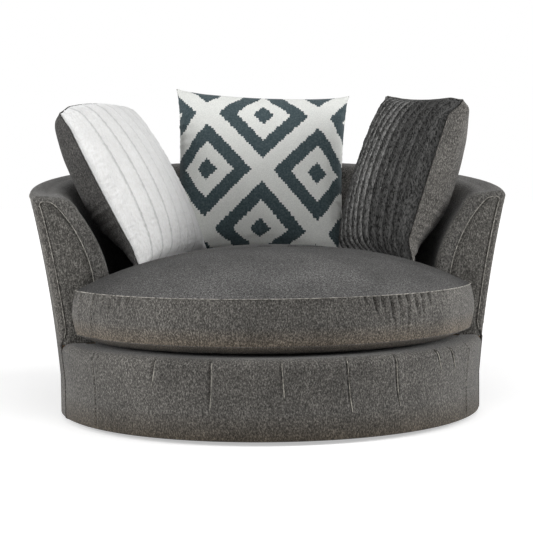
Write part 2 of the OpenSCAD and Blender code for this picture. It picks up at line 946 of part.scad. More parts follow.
// Plan of the cushion's seams: the wide front, an ear, the rear and the other ear
cushion_corner = asin(ear_y / cushion_r);
rear_corner = asin(ear_y / cushion_rear_r);
cushion_outline = concat(
    [
        for (i = [0 : front_points])
            let (
                from = 180 + cushion_corner + ear_turn,
                to = 360 - cushion_corner - ear_turn,
                a = from + (to - from) * i / front_points
            )
            cushion_r * [cos(a), sin(a)]
    ],
    [
        cushion_r * [cos(cushion_corner), -sin(cushion_corner)] + [-ear_round * 0.3, -ear_round * 0.3],
        [cushion_r * cos(cushion_corner) - ear_round, -ear_y]
    ],
    [
        for (i = [0 : rear_points])
            let (a = -rear_corner + (180 + 2 * rear_corner) * i / rear_points)
            cushion_rear_r * [cos(a), sin(a)]
    ],
    [
        [-cushion_r * cos(cushion_corner) + ear_round, -ear_y],
        cushion_r * [-cos(cushion_corner), -sin(cushion_corner)] + [ear_round * 0.3, -ear_round * 0.3]
    ]
);
crown_at = [0, -crown_y];

// The cushion's outline drawn in to a share s about the crown, at a height
function cushion_ring(s, z) = [
    for (p = cushion_outline)
        let (q = crown_at + s * (p - crown_at))
        [q[0], q[1], z]
];

function crown_z(s) = high_seam_z + crown_h * (1 - pow(s, crown_power));

function dish_z(s) = cushion_z + lower_seam * pow(max(0, s - dish_from) / (1 - dish_from), 2);

module cushion_top() {
    color(body_cloth)
        pebble(
            [0, -crown_y, crown_z(0)],
            concat(
                [for (s = crown_rings) cushion_ring(s, crown_z(s))],
                [for (s = reversed(crown_rings)) cushion_ring(s, crown_z(s) - cover_t)]
            ),
            [0, -crown_y, crown_z(0) - cover_t]
        );
}

module cushion_topper() {
    drop = cover_t + pad_gap;
    color(wadding)
        pebble(
            [0, -crown_y, crown_z(0) - drop],
            concat(
                [for (s = topper_rings) cushion_ring(s, crown_z(s) - drop)],
                [cushion_ring(0.965, high_seam_z - cover_t)]
            ),
            [0, -crown_y, high_seam_z - cover_t]
        );
}

module cushion_bottom() {
    color(body_cloth)
        pebble(
            [0, -crown_y, cushion_z + cover_t],
            concat(
                [for (s = dish_rings) cushion_ring(s, dish_z(s) + cover_t)],
                [for (s = reversed(dish_rings)) cushion_ring(s, dish_z(s))]
            ),
            [0, -crown_y, cushion_z]
        );
}

module cushion_boxing() {
    low = low_seam_z + cover_t + lie_gap;
    high = high_seam_z - cover_t - lie_gap;
    count = len(cushion_outline);
    loop = concat([cushion_outline[count - 1]], cushion_outline, [cushion_outline[0]]);
    normal = [
        for (i = [1 : count])
            let (v = unit(loop[i + 1] - loop[i - 1]))
            [v[1], -v[0]]
    ];
    rings = [
        for (i = [0 : count])
            let (k = i % count, p = cushion_outline[k], n = normal[k], w = k <= front_points ? 1 : 0)
            concat(
                [
                    for (j = [0 : 4])
                        let (q = p + n * w * boxing_swell * sin(45 * j))
                        [q[0], q[1], low + (high - low) * j / 4]
                ],
                [
                    for (j = [4 : -1 : 0])
                        let (q = p + n * (w * boxing_swell * sin(45 * j) - cover_t))
                        [q[0], q[1], low + (high - low) * j / 4]
                ]
            )
    ];
    color(body_cloth) closed_sweep([for (i = [0 : count - 1]) rings[i]]);
}

// A solid through rings of points that closes on itself
module closed_sweep(rings) {
    m = len(rings[0]);
    n = len(rings);
    faces = [
        for (i = [0 : n - 1], j = [0 : m - 1])
            let (a = i * m + j, b = i * m + (j + 1) % m, c = (i + 1) % n * m + (j + 1) % m,
                d = (i + 1) % n * m + j)
            each [[a, b, c], [a, c, d]]
    ];
    polyhedron([for (ring = rings) each ring], faces);
}

module core_plan() {
    well_plan(cushion_r - core_in, cushion_rear_r - core_in, ear_y + core_in);
}

module cushion_core() {
    low = cushion_z + cover_t + lie_gap;
    step = low_seam_z + cover_t + lie_gap;
    high = high_seam_z - cover_t;
    color(foam) {
        translate([0, 0, low])
            linear_extrude(step - low)
                translate(crown_at) scale(dish_from) translate(-crown_at) core_plan();
        translate([0, 0, step]) linear_extrude(high - step) core_plan();
    }
}

// Welts along the front of the cushion's seams
module cushion_welts() {
    r = cushion_r + seat_welt_r + lie_gap;
    color([0.45, 0.44, 0.42])
        for (z = [low_seam_z + cover_t / 2, high_seam_z - cover_t / 2])
            translate([0, 0, z])
                intersection() {
                    rotate_extrude() translate([r, 0]) circle(r = seat_welt_r);
                    translate([0, 0, -deck_z]) ahead_of(ear_y + ear_round);
                }
}

// A sector of a flat ring, spread about +Y
module rear_sector(outer, inner, h, half) {
    rotate([0, 0, 90 - half])
        rotate_extrude(angle = 2 * half)
            translate([inner, 0]) square([outer - inner, h]);
}

module zip_tape() {
    r = cushion_rear_r + lie_gap;
    color("black") translate([0, 0, zip_z - zip_h / 2]) rear_sector(r + zip_t, r, zip_h, zip_half);
}

module zip_slider() {
    r = cushion_rear_r + lie_gap + zip_t + lie_gap;
    half = slider_l / 2 / r * 180 / PI;
    color("silver")
        rotate([0, 0, slider_rest + half - zip_half])
            translate([0, 0, zip_z - slider_h / 2]) rear_sector(r + slider_t, r, slider_h, half);
}

// Pillows

function puff(u, v) = pillow_t / 2 * pow(max(0, (1 - u * u) * (1 - v * v)), puff_power);

// Place on a pillow's face, where u runs across and v up, each from -1 to 1
function on_face(size, u, v, depth) = [
    size / 2 * u * (1 - pillow_draw * (1 - v * v)),
    depth,
    size / 2 * v * (1 - pillow_draw * (1 - u * u))
];

function eased(n) = [for (i = [0 : n]) sin(180 * i / n - 90)];

function even(n) = [for (i = [0 : n]) 2 * i / n - 1];

// One sewn face of a pillow; across is the list of places across it
module pillow_face(size, across, ribs, rib_h, side) {
    sweep([
        for (v = eased(puff_steps))
            let (
                outer = [
                    for (u = across)
                        let (
                            fade = (1 - pow(v, 4)) * (1 - pow(u, 8)),
                            swell = rib_h * abs(sin(90 * ribs * (u + 1))) * fade
                        )
                        on_face(size, u, v, lie_gap / 2 + cloth_t + puff(u, v) + swell)
                ],
                inner = [for (u = across) on_face(size, u, v, lie_gap / 2 + puff(u, v))],
                loop = concat(outer, reversed(inner))
            )
            side < 0 ? reversed([for (p = loop) [p[0], -p[1], p[2]]]) : loop
    ]);
}

// Half the thickness of a pillow's filling, which lies just under its faces
function stuffing(u, v) = max(fill_edge, puff(u, v) - lie_gap);

module pillow_fill(size) {
    inner = size * fill_scale;
    across = eased(puff_steps);
    sweep([
        for (v = across)
            concat(
                [for (u = across) on_face(inner, u, v, stuffing(u, v))],
                [for (u = reversed(across)) on_face(inner, u, v, -stuffing(u, v))]
            )
    ]);
}

module place_pillow(inset, at, rise, turn, lean, roll) {
    z = high_seam_z + rise;
    r = inner_at(z, rim_top(at)) - inset;
    translate([r * cos(at), r * sin(at), z])
        rotate([0, 0, turn])
            rotate([-lean, 0, 0])
                rotate([0, roll, 0]) children();
}

module place_left() {
    place_pillow(left_in, left_at, left_rise, left_turn, left_lean, -outer_roll) children();
}

module place_middle() {
    place_pillow(middle_in, middle_at, middle_rise, middle_turn, middle_lean, outer_roll) children();
}

module place_right() {
    place_pillow(right_in, right_at, right_rise, right_turn, right_lean, outer_roll) children();
}

module left_front() {
    color(white_fur)
        place_left() pillow_face(outer_size, even(rib_samples * channel_count), channel_count, channel_h, -1);
}

module left_back() {
    color(body_cloth) place_left() pillow_face(outer_size, eased(puff_steps), 1, 0, 1);
}

module left_fill() {
    color(wadding) place_left() pillow_fill(outer_size);
}

module middle_front() {
    color(print_cloth) place_middle() pillow_face(middle_size, eased(puff_steps), 1, 0, -1);
}

module middle_back() {
    color(body_cloth) place_middle() pillow_face(middle_size, eased(puff_steps), 1, 0, 1);
}

module middle_fill() {
    color(wadding) place_middle() pillow_fill(middle_size);
}

module right_front() {
    color(dark_fur)
        place_right() pillow_face(outer_size, even(rib_samples * pile_count), pile_count, pile_h, -1);
}

module right_back() {
    color(body_cloth) place_right() pillow_face(outer_size, eased(puff_steps), 1, 0, 1);
}

module right_fill() {
    color(wadding) place_right() pillow_fill(outer_size);
}

glides();
plinth();
bearing_lower();
lower_screws();
pivot_bolt();
pivot_nut();
ball_cage();
bearing_balls();
bearing_upper();
upper_screws();
pivot_bush();
swivel_board();
cross_rails();
bottom_ring();
dust_cover();
deck_ring();
front_posts();
rib_1();
rib_2();
rib_3();
rib_4();
rib_5();
rib_6();
arm_board_right();
arm_board_left();
top_rail();
lumbar_rail();
seat_springs();
spring_clips();
deck_pad();
deck_cover();
front_board();
front_pad();
front_cover();
outer_board();
outer_cover();
back_foam();
inner_cover();
arm_pads();
arm_cover_right();
arm_cover_left();
arm_welts();
cushion_core();
cushion_topper();
cushion_top();
cushion_boxing();
cushion_bottom();
cushion_welts();
zip_tape();
zip_slider();
left_front();
left_back();
left_fill();
middle_front();
middle_back();
middle_fill();
right_front();
right_back();
right_fill();
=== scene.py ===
"""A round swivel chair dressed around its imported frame: covers, seat cushion, pillows and a plain studio."""

import json
import logging
import math
from collections.abc import Callable, Iterator, Sequence
from contextlib import contextmanager
from dataclasses import dataclass, field
from enum import Enum

import bmesh
import bpy
from mathutils import Matrix, Quaternion, Vector, noise

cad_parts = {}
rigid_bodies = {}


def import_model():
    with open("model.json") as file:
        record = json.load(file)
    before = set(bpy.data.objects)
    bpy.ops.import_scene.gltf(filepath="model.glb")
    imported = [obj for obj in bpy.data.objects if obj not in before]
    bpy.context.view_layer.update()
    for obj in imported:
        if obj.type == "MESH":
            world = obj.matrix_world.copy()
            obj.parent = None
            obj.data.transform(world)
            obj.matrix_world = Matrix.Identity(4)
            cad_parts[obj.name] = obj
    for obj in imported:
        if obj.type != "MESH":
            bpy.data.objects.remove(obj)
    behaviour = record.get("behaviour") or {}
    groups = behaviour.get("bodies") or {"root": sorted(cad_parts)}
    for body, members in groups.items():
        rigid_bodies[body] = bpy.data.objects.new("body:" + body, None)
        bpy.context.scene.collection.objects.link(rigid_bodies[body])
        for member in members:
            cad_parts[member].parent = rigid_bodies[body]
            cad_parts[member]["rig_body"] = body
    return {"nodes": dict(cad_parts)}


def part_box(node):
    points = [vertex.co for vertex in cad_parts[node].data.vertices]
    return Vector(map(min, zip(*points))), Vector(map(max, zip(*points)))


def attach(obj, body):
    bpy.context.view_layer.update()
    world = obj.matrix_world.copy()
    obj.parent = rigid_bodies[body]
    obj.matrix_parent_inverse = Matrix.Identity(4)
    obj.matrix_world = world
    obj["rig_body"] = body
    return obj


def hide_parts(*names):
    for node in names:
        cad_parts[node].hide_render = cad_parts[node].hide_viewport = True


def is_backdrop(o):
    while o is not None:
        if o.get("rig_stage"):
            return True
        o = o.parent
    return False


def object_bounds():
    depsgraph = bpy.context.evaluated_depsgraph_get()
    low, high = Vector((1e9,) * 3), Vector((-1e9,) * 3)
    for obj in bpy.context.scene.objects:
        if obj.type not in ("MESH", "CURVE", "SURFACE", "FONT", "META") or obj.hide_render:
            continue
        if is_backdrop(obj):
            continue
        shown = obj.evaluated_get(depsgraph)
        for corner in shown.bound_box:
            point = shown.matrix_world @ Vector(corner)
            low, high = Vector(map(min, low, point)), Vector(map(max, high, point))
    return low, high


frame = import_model()
CAD_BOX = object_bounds()
LOG = logging.getLogger("chair")

Colour = tuple[float, float, float]
Flat = tuple[float, float]
Space = tuple[float, float, float]
Sockets = dict[str | int, object]


# Small tools


def alone(obj: bpy.types.Object) -> None:
    """Selects one object and nothing else."""
    if bpy.context.mode != "OBJECT":
        bpy.ops.object.mode_set(mode="OBJECT")
    bpy.ops.object.select_all(action="DESELECT")
    obj.select_set(True)
    bpy.context.view_layer.objects.active = obj


@contextmanager
def editing(obj: bpy.types.Object, action: str = "SELECT") -> Iterator[None]:
    """Holds one object in edit mode.

    Args:
        obj: The mesh object to edit.
        action: What is selected first, SELECT for everything or DESELECT for nothing.
    """
    alone(obj)
    bpy.ops.object.mode_set(mode="EDIT")
    bpy.ops.mesh.select_all(action=action)
    yield
    bpy.ops.object.mode_set(mode="OBJECT")


def finish_with(obj: bpy.types.Object, kind: str, **settings: object) -> None:
    """Adds a modifier and applies it.

    Args:
        obj: The mesh object.
        kind: The modifier's type, such as SOLIDIFY.
        settings: Values for the modifier's own fields.
    """
    alone(obj)
    modifier = obj.modifiers.new(kind.title(), kind)
    for name, value in settings.items():
        setattr(modifier, name, value)
    bpy.ops.object.modifier_apply(modifier=modifier.name)


def smooth(value: float) -> float:
    """A share from 0 to 1 that starts and ends softly."""
    value = min(1.0, max(0.0, value))
    return value * value * (3 - 2 * value)


def bell(distance: float, width: float) -> float:
    """Height of a soft bump of a half width at a distance from its middle."""
    return math.exp(-((distance / width) ** 2))


def clamped(value: float) -> float:
    """A value kept between -1 and 1."""
    return max(-1.0, min(1.0, value))


def between(start: float, end: float, share: float) -> float:
    """The value at a share of the way from one to another."""
    return start + (end - start) * share


def shares(count: int, first: int = 0) -> Iterator[float]:
    """Steps evenly to 1, from 0 or from a later step."""
    return (step / count for step in range(first, count + 1))


def ripple(x: float, y: float, z: float) -> float:
    """A smooth random value from about -1 to 1 for a place."""
    return noise.noise(Vector((x, y, z)))


def quarter(middle: Flat, radius: float, share: float) -> Flat:
    """A point on a quarter round, from its outermost point at share 0 to its top at share 1."""
    turn = math.pi / 2 * share
    return (middle[0] + radius * math.cos(turn), middle[1] + radius * math.sin(turn))


def arc(r: float, start: float, end: float, steps: int) -> list[Flat]:
    """Points evenly stepped round the chair's middle from one angle to another."""
    turns = [between(start, end, share) for share in shares(steps)]
    return [(r * math.cos(turn), r * math.sin(turn)) for turn in turns]


def bezier(start: Flat, pull: Flat, end: Flat, share: float) -> Flat:
    """A point on a curve that leaves and arrives towards one pull point."""
    a, b, c = (1 - share) ** 2, 2 * share * (1 - share), share**2
    return (a * start[0] + b * pull[0] + c * end[0], a * start[1] + b * pull[1] + c * end[1])


def spread(line: Sequence[Flat]) -> Callable[[float], Flat]:
    """Walks a line evenly.

    Args:
        line: The line's points.

    Returns:
        A function from a share of the line's length to its point.
    """
    lengths = [0.0]
    for a, b in zip(line, line[1:]):
        lengths.append(lengths[-1] + math.dist(a, b))

    def at(share: float) -> Flat:
        """The point at a share of the length."""
        want = lengths[-1] * min(1.0, max(0.0, share))
        k = max(0, min(len(line) - 2, sum(length <= want for length in lengths) - 1))
        part = (want - lengths[k]) / max(lengths[k + 1] - lengths[k], 1e-9)
        (ax, ay), (bx, by) = line[k], line[k + 1]
        return (between(ax, bx, part), between(ay, by, part))

    return at


def polar(r: float, turn: float, z: float) -> Vector:
    """A point at a radius and a height, turned from the right of the chair towards its back."""
    return Vector((r * math.cos(turn), r * math.sin(turn), z))


def fronted(r: float, turn: float, z: float) -> Vector:
    """A point at a radius and a height, turned from the middle of the front towards the right."""
    return Vector((r * math.sin(turn), -r * math.cos(turn), z))


def abreast(side: int, r: float, y: float, z: float) -> Vector:
    """A point at a radius and a height on the right (1) or left (-1) half of the chair, at depth y."""
    return Vector((side * math.sqrt(r * r - y * y), y, z))


def linked(name: str, data: bpy.types.ID) -> bpy.types.Object:
    """Puts a new object with its data into the scene."""
    obj = bpy.data.objects.new(name, data)
    bpy.context.scene.collection.objects.link(obj)
    return obj


def marked(cover: bpy.types.Object, words: Sequence[str]) -> None:
    """Gives a cover one mark for each of its panels."""
    for word in words:
        cover.data.materials.append(bpy.data.materials.new(f"panel_{word}"))


def parted(cover: bpy.types.Object, words: Sequence[str]) -> list[bpy.types.Object]:
    """Cuts a cover into its marked panels, in the order of their words, and takes the marks away."""
    with editing(cover):
        bpy.ops.mesh.separate(type="MATERIAL")
    found = {part.data.materials[0].name: part for part in bpy.context.selected_objects}
    parts = [found[f"panel_{word}"] for word in words]
    for part in parts:
        part.data.materials.clear()
    for word in words:
        bpy.data.materials.remove(bpy.data.materials[f"panel_{word}"])
    return parts


def moved(obj: bpy.types.Object, to: Callable[[Vector, Vector, int], Vector]) -> None:
    """Moves every point of a piece, each from where it and its normal were before any moved.

    Args:
        obj: The piece.
        to: Gives a point's new place from its old one, its normal and its number.
    """
    mesh = obj.data
    normals = [normal.vector.copy() for normal in mesh.vertex_normals]
    places = [to(vertex.co, normal, k) for k, (vertex, normal) in enumerate(zip(mesh.vertices, normals))]
    mesh.vertices.foreach_set("co", [number for place in places for number in place])
    mesh.update()


def from_axis(at: Vector) -> Vector:
    """The way out from the chair's middle."""
    return Vector((at.x, at.y, 0.0))


def laid(
    name: str,
    across: int,
    up: int,
    place: Callable[[float, float], Vector],
    outward: Callable[[Vector], Vector] = from_axis,
) -> bpy.types.Object:
    """Cuts a flat sheet of cloth and lays every point of it on a form.

    Args:
        name: The piece's name.
        across: Faces across the sheet.
        up: Faces up the sheet.
        place: Gives the point for shares u across and v up, each from 0 to 1.
        outward: Gives the way that the sheet's face looks, for each place on it.

    Returns:
        The sheet, one face thick.
    """
    bpy.ops.object.select_all(action="DESELECT")
    bpy.ops.mesh.primitive_grid_add(x_subdivisions=across, y_subdivisions=up, size=2, calc_uvs=True)
    sheet = bpy.context.object
    sheet.name = sheet.data.name = name
    for vertex in sheet.data.vertices:
        vertex.co = place((vertex.co.x + 1) / 2, (vertex.co.y + 1) / 2)
    sheet.data.update()
    if sum(face.normal.dot(outward(face.center)) * face.area for face in sheet.data.polygons) < 0:
        with editing(sheet):
            bpy.ops.mesh.flip_normals()
    return sheet


def cut(name: str, outline: Sequence[Vector], steps: Sequence[Flat]) -> bpy.types.Object:
    """Cuts a flat panel to an outline and pads it out in rings.

    Args:
        name: The piece's name.
        outline: The panel's edge, in order.
        steps: For each ring, how far it lies inside the last one and how far it rises.

    Returns:
        The panel, one face thick.
    """
    bpy.ops.object.select_all(action="DESELECT")
    bpy.ops.mesh.primitive_circle_add(vertices=len(outline), radius=1, fill_type="NGON")
    panel = bpy.context.object
    panel.name = panel.data.name = name
    for vertex, point in zip(panel.data.vertices, outline):
        vertex.co = point
    panel.data.update()
    for inset, rise in steps:
        with editing(panel, "DESELECT"):
            bpy.ops.mesh.select_mode(type="FACE")
            table = bmesh.from_edit_mesh(panel.data)
            max(table.faces, key=lambda face: len(face.verts)).select = True
            bmesh.update_edit_mesh(panel.data)
            bpy.ops.mesh.inset(thickness=inset, depth=rise, use_even_offset=False)
    return panel


def closed(obj: bpy.types.Object, thickness: float = 0.0, gap: float = 1e-5) -> bpy.types.Object:
    """Merges a piece's doubles, gives it a wall if it is a sheet, and turns its faces outwards.

    Args:
        obj: The piece.
        thickness: Thickness of its cloth, laid behind its face, or 0 for a piece that is already solid.
        gap: Points nearer than this are merged.

    Returns:
        The same piece.
    """
    with editing(obj):
        bpy.ops.mesh.remove_doubles(threshold=gap)
        bpy.ops.mesh.dissolve_degenerate(threshold=gap)
    if thickness:
        finish_with(obj, "SOLIDIFY", thickness=thickness, offset=-1.0, use_even_offset=False)
    table = bmesh.new()
    table.from_mesh(obj.data)
    inside_out = table.calc_volume(signed=True) < 0
    table.free()
    with editing(obj):
        if inside_out:
            bpy.ops.mesh.flip_normals()
    alone(obj)
    bpy.ops.object.shade_smooth_by_angle(angle=math.radians(50))
    return obj


def thread(
    name: str, runs: Sequence[Sequence[Vector]], radius: float, loop: bool = False
) -> bpy.types.Object:
    """Sews a thread along one or more runs of points.

    Args:
        name: The piece's name.
        runs: The points of each run.
        radius: The thread's radius.
        loop: Whether each run closes on itself.

    Returns:
        The thread as a solid mesh.
    """
    line = bpy.data.curves.new(name, "CURVE")
    line.dimensions = "3D"
    line.bevel_depth = radius
    line.bevel_resolution = 1
    line.use_fill_caps = True
    for run in runs:
        spline = line.splines.new("POLY")
        spline.points.add(len(run) - 1)
        for point, at in zip(spline.points, run):
            point.co = (*at, 1.0)
        spline.use_cyclic_u = loop
    alone(linked(name, line))
    bpy.ops.object.convert(target="MESH")
    obj = bpy.context.object
    obj.name = obj.data.name = name
    return closed(obj, gap=1e-6)


def inflate(obj: bpy.types.Object, pressure: float, frames: int, reach: float, pins: str = "") -> None:
    """Blows a sewn cover up as cloth, and keeps the result in its mesh.

    Args:
        obj: The closed cover.
        pressure: Pressure inside it.
        frames: Steps that the cloth is given.
        reach: The furthest that a point may move.
        pins: Name of the vertex group that stays where it is.
    """
    rest = [vertex.co.copy() for vertex in obj.data.vertices]
    alone(obj)
    cloth = obj.modifiers.new("Cloth", "CLOTH")
    settings = {"quality": 6, "mass": 0.3, "air_damping": 1.0, "tension_stiffness": 30}
    settings |= {"compression_stiffness": 30, "shear_stiffness": 12, "bending_stiffness": 0.4}
    settings |= {"use_pressure": True, "uniform_pressure_force": pressure, "vertex_group_mass": pins}
    for name, value in settings.items():
        setattr(cloth.settings, name, value)
    cloth.settings.effector_weights.gravity = 0
    cloth.collision_settings.use_collision = False
    cloth.point_cache.frame_start = 1
    cloth.point_cache.frame_end = frames
    for step in range(1, frames + 1):
        bpy.context.scene.frame_set(step)
    bpy.ops.object.modifier_apply(modifier=cloth.name)
    bpy.context.scene.frame_set(1)
    for vertex, start in zip(obj.data.vertices, rest):
        pull = vertex.co - start
        if pull.length > reach:
            vertex.co = start + pull * (reach / pull.length)


def coated(obj: bpy.types.Object, finish: "Finish") -> None:
    """Gives a piece one finish in place of any other."""
    obj.data.materials.clear()
    obj.data.materials.append(finish.material())


def fitted(
    piece: bpy.types.Object,
    body: str,
    cloth: "Finish",
    stands_for: Sequence[str] = (),
    slot: str = "",
    fill: float | None = None,
) -> bpy.types.Object:
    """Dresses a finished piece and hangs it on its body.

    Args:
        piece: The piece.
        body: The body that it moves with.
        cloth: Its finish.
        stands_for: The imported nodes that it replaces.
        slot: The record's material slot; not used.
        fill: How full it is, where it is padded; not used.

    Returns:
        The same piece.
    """
    coated(piece, cloth)
    for polygon in piece.data.polygons:
        polygon.material_index = 0
    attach(piece, body)
    if stands_for:
        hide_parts(*stands_for)
    LOG.info("%s: %d faces on %s", piece.name, len(piece.data.polygons), body)
    return piece


# Finishes


class Desk:
    """Lays out the nodes of one tree and joins them."""

    def __init__(self, tree: bpy.types.NodeTree) -> None:
        """Starts with the tree to fill."""
        self.tree = tree

    def fill(self, node: bpy.types.Node, sockets: Sockets) -> bpy.types.Node:
        """Sets a node's inputs to the values given, and joins them to the outputs given."""
        for key, value in sockets.items():
            if isinstance(value, bpy.types.NodeSocket):
                self.tree.links.new(value, node.inputs[key])
            else:
                node.inputs[key].default_value = value
        return node

    def add(self, kind: str, sockets: Sockets | None = None, **fields: object) -> bpy.types.Node:
        """Adds a node.

        Args:
            kind: The node's type without its ShaderNode prefix.
            sockets: Values or outputs for its inputs, by name or place.
            fields: Values for the node's own fields.

        Returns:
            The node.
        """
        node = self.tree.nodes.new("ShaderNode" + kind)
        for name, value in fields.items():
            setattr(node, name, value)
        return self.fill(node, sockets or {})

    def math(self, operation: str, a: object, b: object = 0.0, clamp: bool = False) -> bpy.types.NodeSocket:
        """The result of a sum of two values or outputs."""
        return self.add("Math", {0: a, 1: b}, operation=operation, use_clamp=clamp).outputs[0]

    def mix(self, share: object, a: object, b: object, blend: str = "MIX") -> bpy.types.NodeSocket:
        """Two colours mixed by a share."""
        pair = {0: share, 6: rgba(a), 7: rgba(b)}
        return self.add("Mix", pair, data_type="RGBA", blend_type=blend).outputs[2]

    def span(self, value: object, low: object, high: object, *to: object) -> bpy.types.NodeSocket:
        """A value carried from one range to another, from 0 to 1 where none is given, and kept inside it."""
        ends = {0: value, 1: low, 2: high} | dict(enumerate(to, 3))
        return self.add("MapRange", ends).outputs[0]

    def noise(
        self, vector: object, scale: object, detail: float = 2.0, rough: float = 0.5
    ) -> bpy.types.NodeSocket:
        """A smooth random value of a scale."""
        sockets = {"Vector": vector, "Scale": scale, "Detail": detail, "Roughness": rough}
        return self.add("TexNoise", sockets).outputs[0]

    def stretched(self, vector: object, scale: Space, turn: Space = (0.0, 0.0, 0.0)) -> bpy.types.NodeSocket:
        """Coordinates stretched and turned."""
        return self.add("Mapping", {"Vector": vector, "Scale": scale, "Rotation": turn}).outputs[0]

    def toned(self, colour: object, value: object) -> bpy.types.NodeSocket:
        """A colour made lighter or darker by a value."""
        grey = self.add("CombineColor", {0: value, 1: value, 2: value}).outputs[0]
        return self.mix(1.0, colour, grey, "MULTIPLY")

    def effect(self, which: "Effect", sockets: Sockets) -> bpy.types.Node:
        """Places a shared effect in a material."""
        node = self.tree.nodes.new("ShaderNodeGroup")
        node.node_tree = which.tree()
        return self.fill(node, sockets)

    def mottled(
        self, colour: object, place: object, scale: float, low: float, high: float
    ) -> bpy.types.NodeSocket:
        """A colour with broad soft patches of a scale, between two tones."""
        patches = {"Vector": place, "Scale": scale, "Low": low, "High": high}
        return self.toned(colour, self.effect(Effect.MOTTLE, patches).outputs["Value"])

    def bump(self, height: object, strength: float, depth: float) -> bpy.types.NodeSocket:
        """The normal of a surface raised by a height, with a strength from 0 to 1 and a depth in metres."""
        return self.add("Bump", {"Height": height, "Strength": strength, "Distance": depth}).outputs[0]


def rgba(colour: object) -> object:
    """A colour with its alpha, or an output left as it is."""
    if isinstance(colour, bpy.types.NodeSocket) or len(colour) == 4:
        return colour
    return (*colour, 1.0)


class Effect(Enum):
    """Effects that several finishes share, each a node group built once."""

    YARN = "yarn_flecks"
    MOTTLE = "soft_mottle"
    PILE = "pile_tufts"
    SCUFF = "fine_scuffs"
    GRAIN = "wood_grain"

    def tree(self) -> bpy.types.NodeTree:
        """The effect's node group, built at its first use."""
        found = bpy.data.node_groups.get(self.value)
        return found or EFFECTS[self](self.value)


def new_group(
    name: str, ins: Sequence[tuple[str, str, object]], outs: Sequence[tuple[str, str]]
) -> tuple[Desk, object, bpy.types.Node]:
    """Starts a node group.

    Args:
        name: The group's name.
        ins: Name, kind and default of each input.
        outs: Name and kind of each output.

    Returns:
        Its desk, what its group input gives, and its group output.
    """
    tree = bpy.data.node_groups.new(name, "ShaderNodeTree")
    for label, kind, default in ins:
        socket = tree.interface.new_socket(label, in_out="INPUT", socket_type="NodeSocket" + kind)
        if default is not None:
            socket.default_value = default
    for label, kind in outs:
        tree.interface.new_socket(label, in_out="OUTPUT", socket_type="NodeSocket" + kind)
    return Desk(tree), tree.nodes.new("NodeGroupInput").outputs, tree.nodes.new("NodeGroupOutput")


def yarn_group(name: str) -> bpy.types.NodeTree:
    """Short flecked yarns: a colour for each fleck, and their height."""
    ins = [("Vector", "Vector", None), ("Scale", "Float", 300.0), ("Dark", "Color", (0, 0, 0, 1))]
    ins += [("Middle", "Color", (0.1, 0.1, 0.1, 1)), ("Light", "Color", (0.3, 0.3, 0.3, 1))]
    desk, given, out = new_group(name, ins, [("Color", "Color"), ("Height", "Float")])
    yarns = desk.stretched(given["Vector"], (1.0, 1.0, 0.6))
    coarse = desk.noise(yarns, given["Scale"], 3.0, 0.75)
    fine = desk.noise(given["Vector"], 1100.0, 2.0, 0.6)
    height = desk.math("ADD", desk.math("MULTIPLY", coarse, 0.75), desk.math("MULTIPLY", fine, 0.25))
    body = desk.mix(desk.span(height, 0.36, 0.5), given["Dark"], given["Middle"])
    desk.fill(out, {"Color": desk.mix(desk.span(height, 0.5, 0.66), body, given["Light"]), "Height": height})
    return desk.tree


def mottle_group(name: str) -> bpy.types.NodeTree:
    """Broad soft patches, as cloth has where its nap lies differently."""
    ins = [("Vector", "Vector", None), ("Scale", "Float", 8.0)]
    ins += [("Low", "Float", 0.85), ("High", "Float", 1.15)]
    desk, given, out = new_group(name, ins, [("Value", "Float")])
    broad = desk.noise(given["Vector"], given["Scale"], 3.0, 0.55)
    desk.fill(out, {"Value": desk.span(broad, 0.35, 0.65, given["Low"], given["High"])})
    return desk.tree


def pile_group(name: str) -> bpy.types.NodeTree:
    """Tufts of long soft pile: a mask of their tips, and their height."""
    ins = [("Vector", "Vector", None), ("Scale", "Float", 160.0)]
    desk, given, out = new_group(name, ins, [("Tips", "Float"), ("Height", "Float")])
    shift = desk.add("TexNoise", {"Vector": given["Vector"], "Scale": 30.0}).outputs[1]
    shift = desk.add("VectorMath", {0: shift, 3: 0.02}, operation="SCALE").outputs[0]
    bent = desk.add("VectorMath", {0: given["Vector"], 1: shift}, operation="ADD").outputs[0]
    hairs = desk.noise(desk.stretched(bent, (1.6, 1.6, 0.5)), given["Scale"], 4.0, 0.65)
    desk.fill(out, {"Tips": desk.span(hairs, 0.38, 0.62), "Height": hairs})
    return desk.tree


def scuff_group(name: str) -> bpy.types.NodeTree:
    """Fine scuffs and dust: a mask, and a height."""
    ins = [("Vector", "Vector", None), ("Scale", "Float", 120.0)]
    desk, given, out = new_group(name, ins, [("Mask", "Float"), ("Height", "Float")])
    dust = desk.noise(given["Vector"], given["Scale"], 5.0, 0.6)
    lines = desk.noise(desk.stretched(given["Vector"], (0.2, 3.0, 1.0), (0.3, 0.2, 0.6)), 300.0)
    desk.fill(out, {"Mask": desk.span(dust, 0.4, 0.7), "Height": lines})
    return desk.tree


def grain_group(name: str) -> bpy.types.NodeTree:
    """Wood grain along one direction: a mask of its darker growth, and its height."""
    ins = [("Vector", "Vector", None), ("Scale", "Float", 60.0)]
    desk, given, out = new_group(name, ins, [("Mask", "Float"), ("Height", "Float")])
    long = desk.stretched(given["Vector"], (0.12, 1.0, 1.0))
    waves = {"Vector": long, "Scale": given["Scale"], "Distortion": 6.0, "Detail": 3.0, "Detail Scale": 1.4}
    rings = desk.add("TexWave", waves, bands_direction="Y").outputs[1]
    pores = desk.noise(long, 700.0, 3.0, 0.6)
    desk.fill(out, {"Mask": desk.math("MULTIPLY", rings, pores), "Height": pores})
    return desk.tree


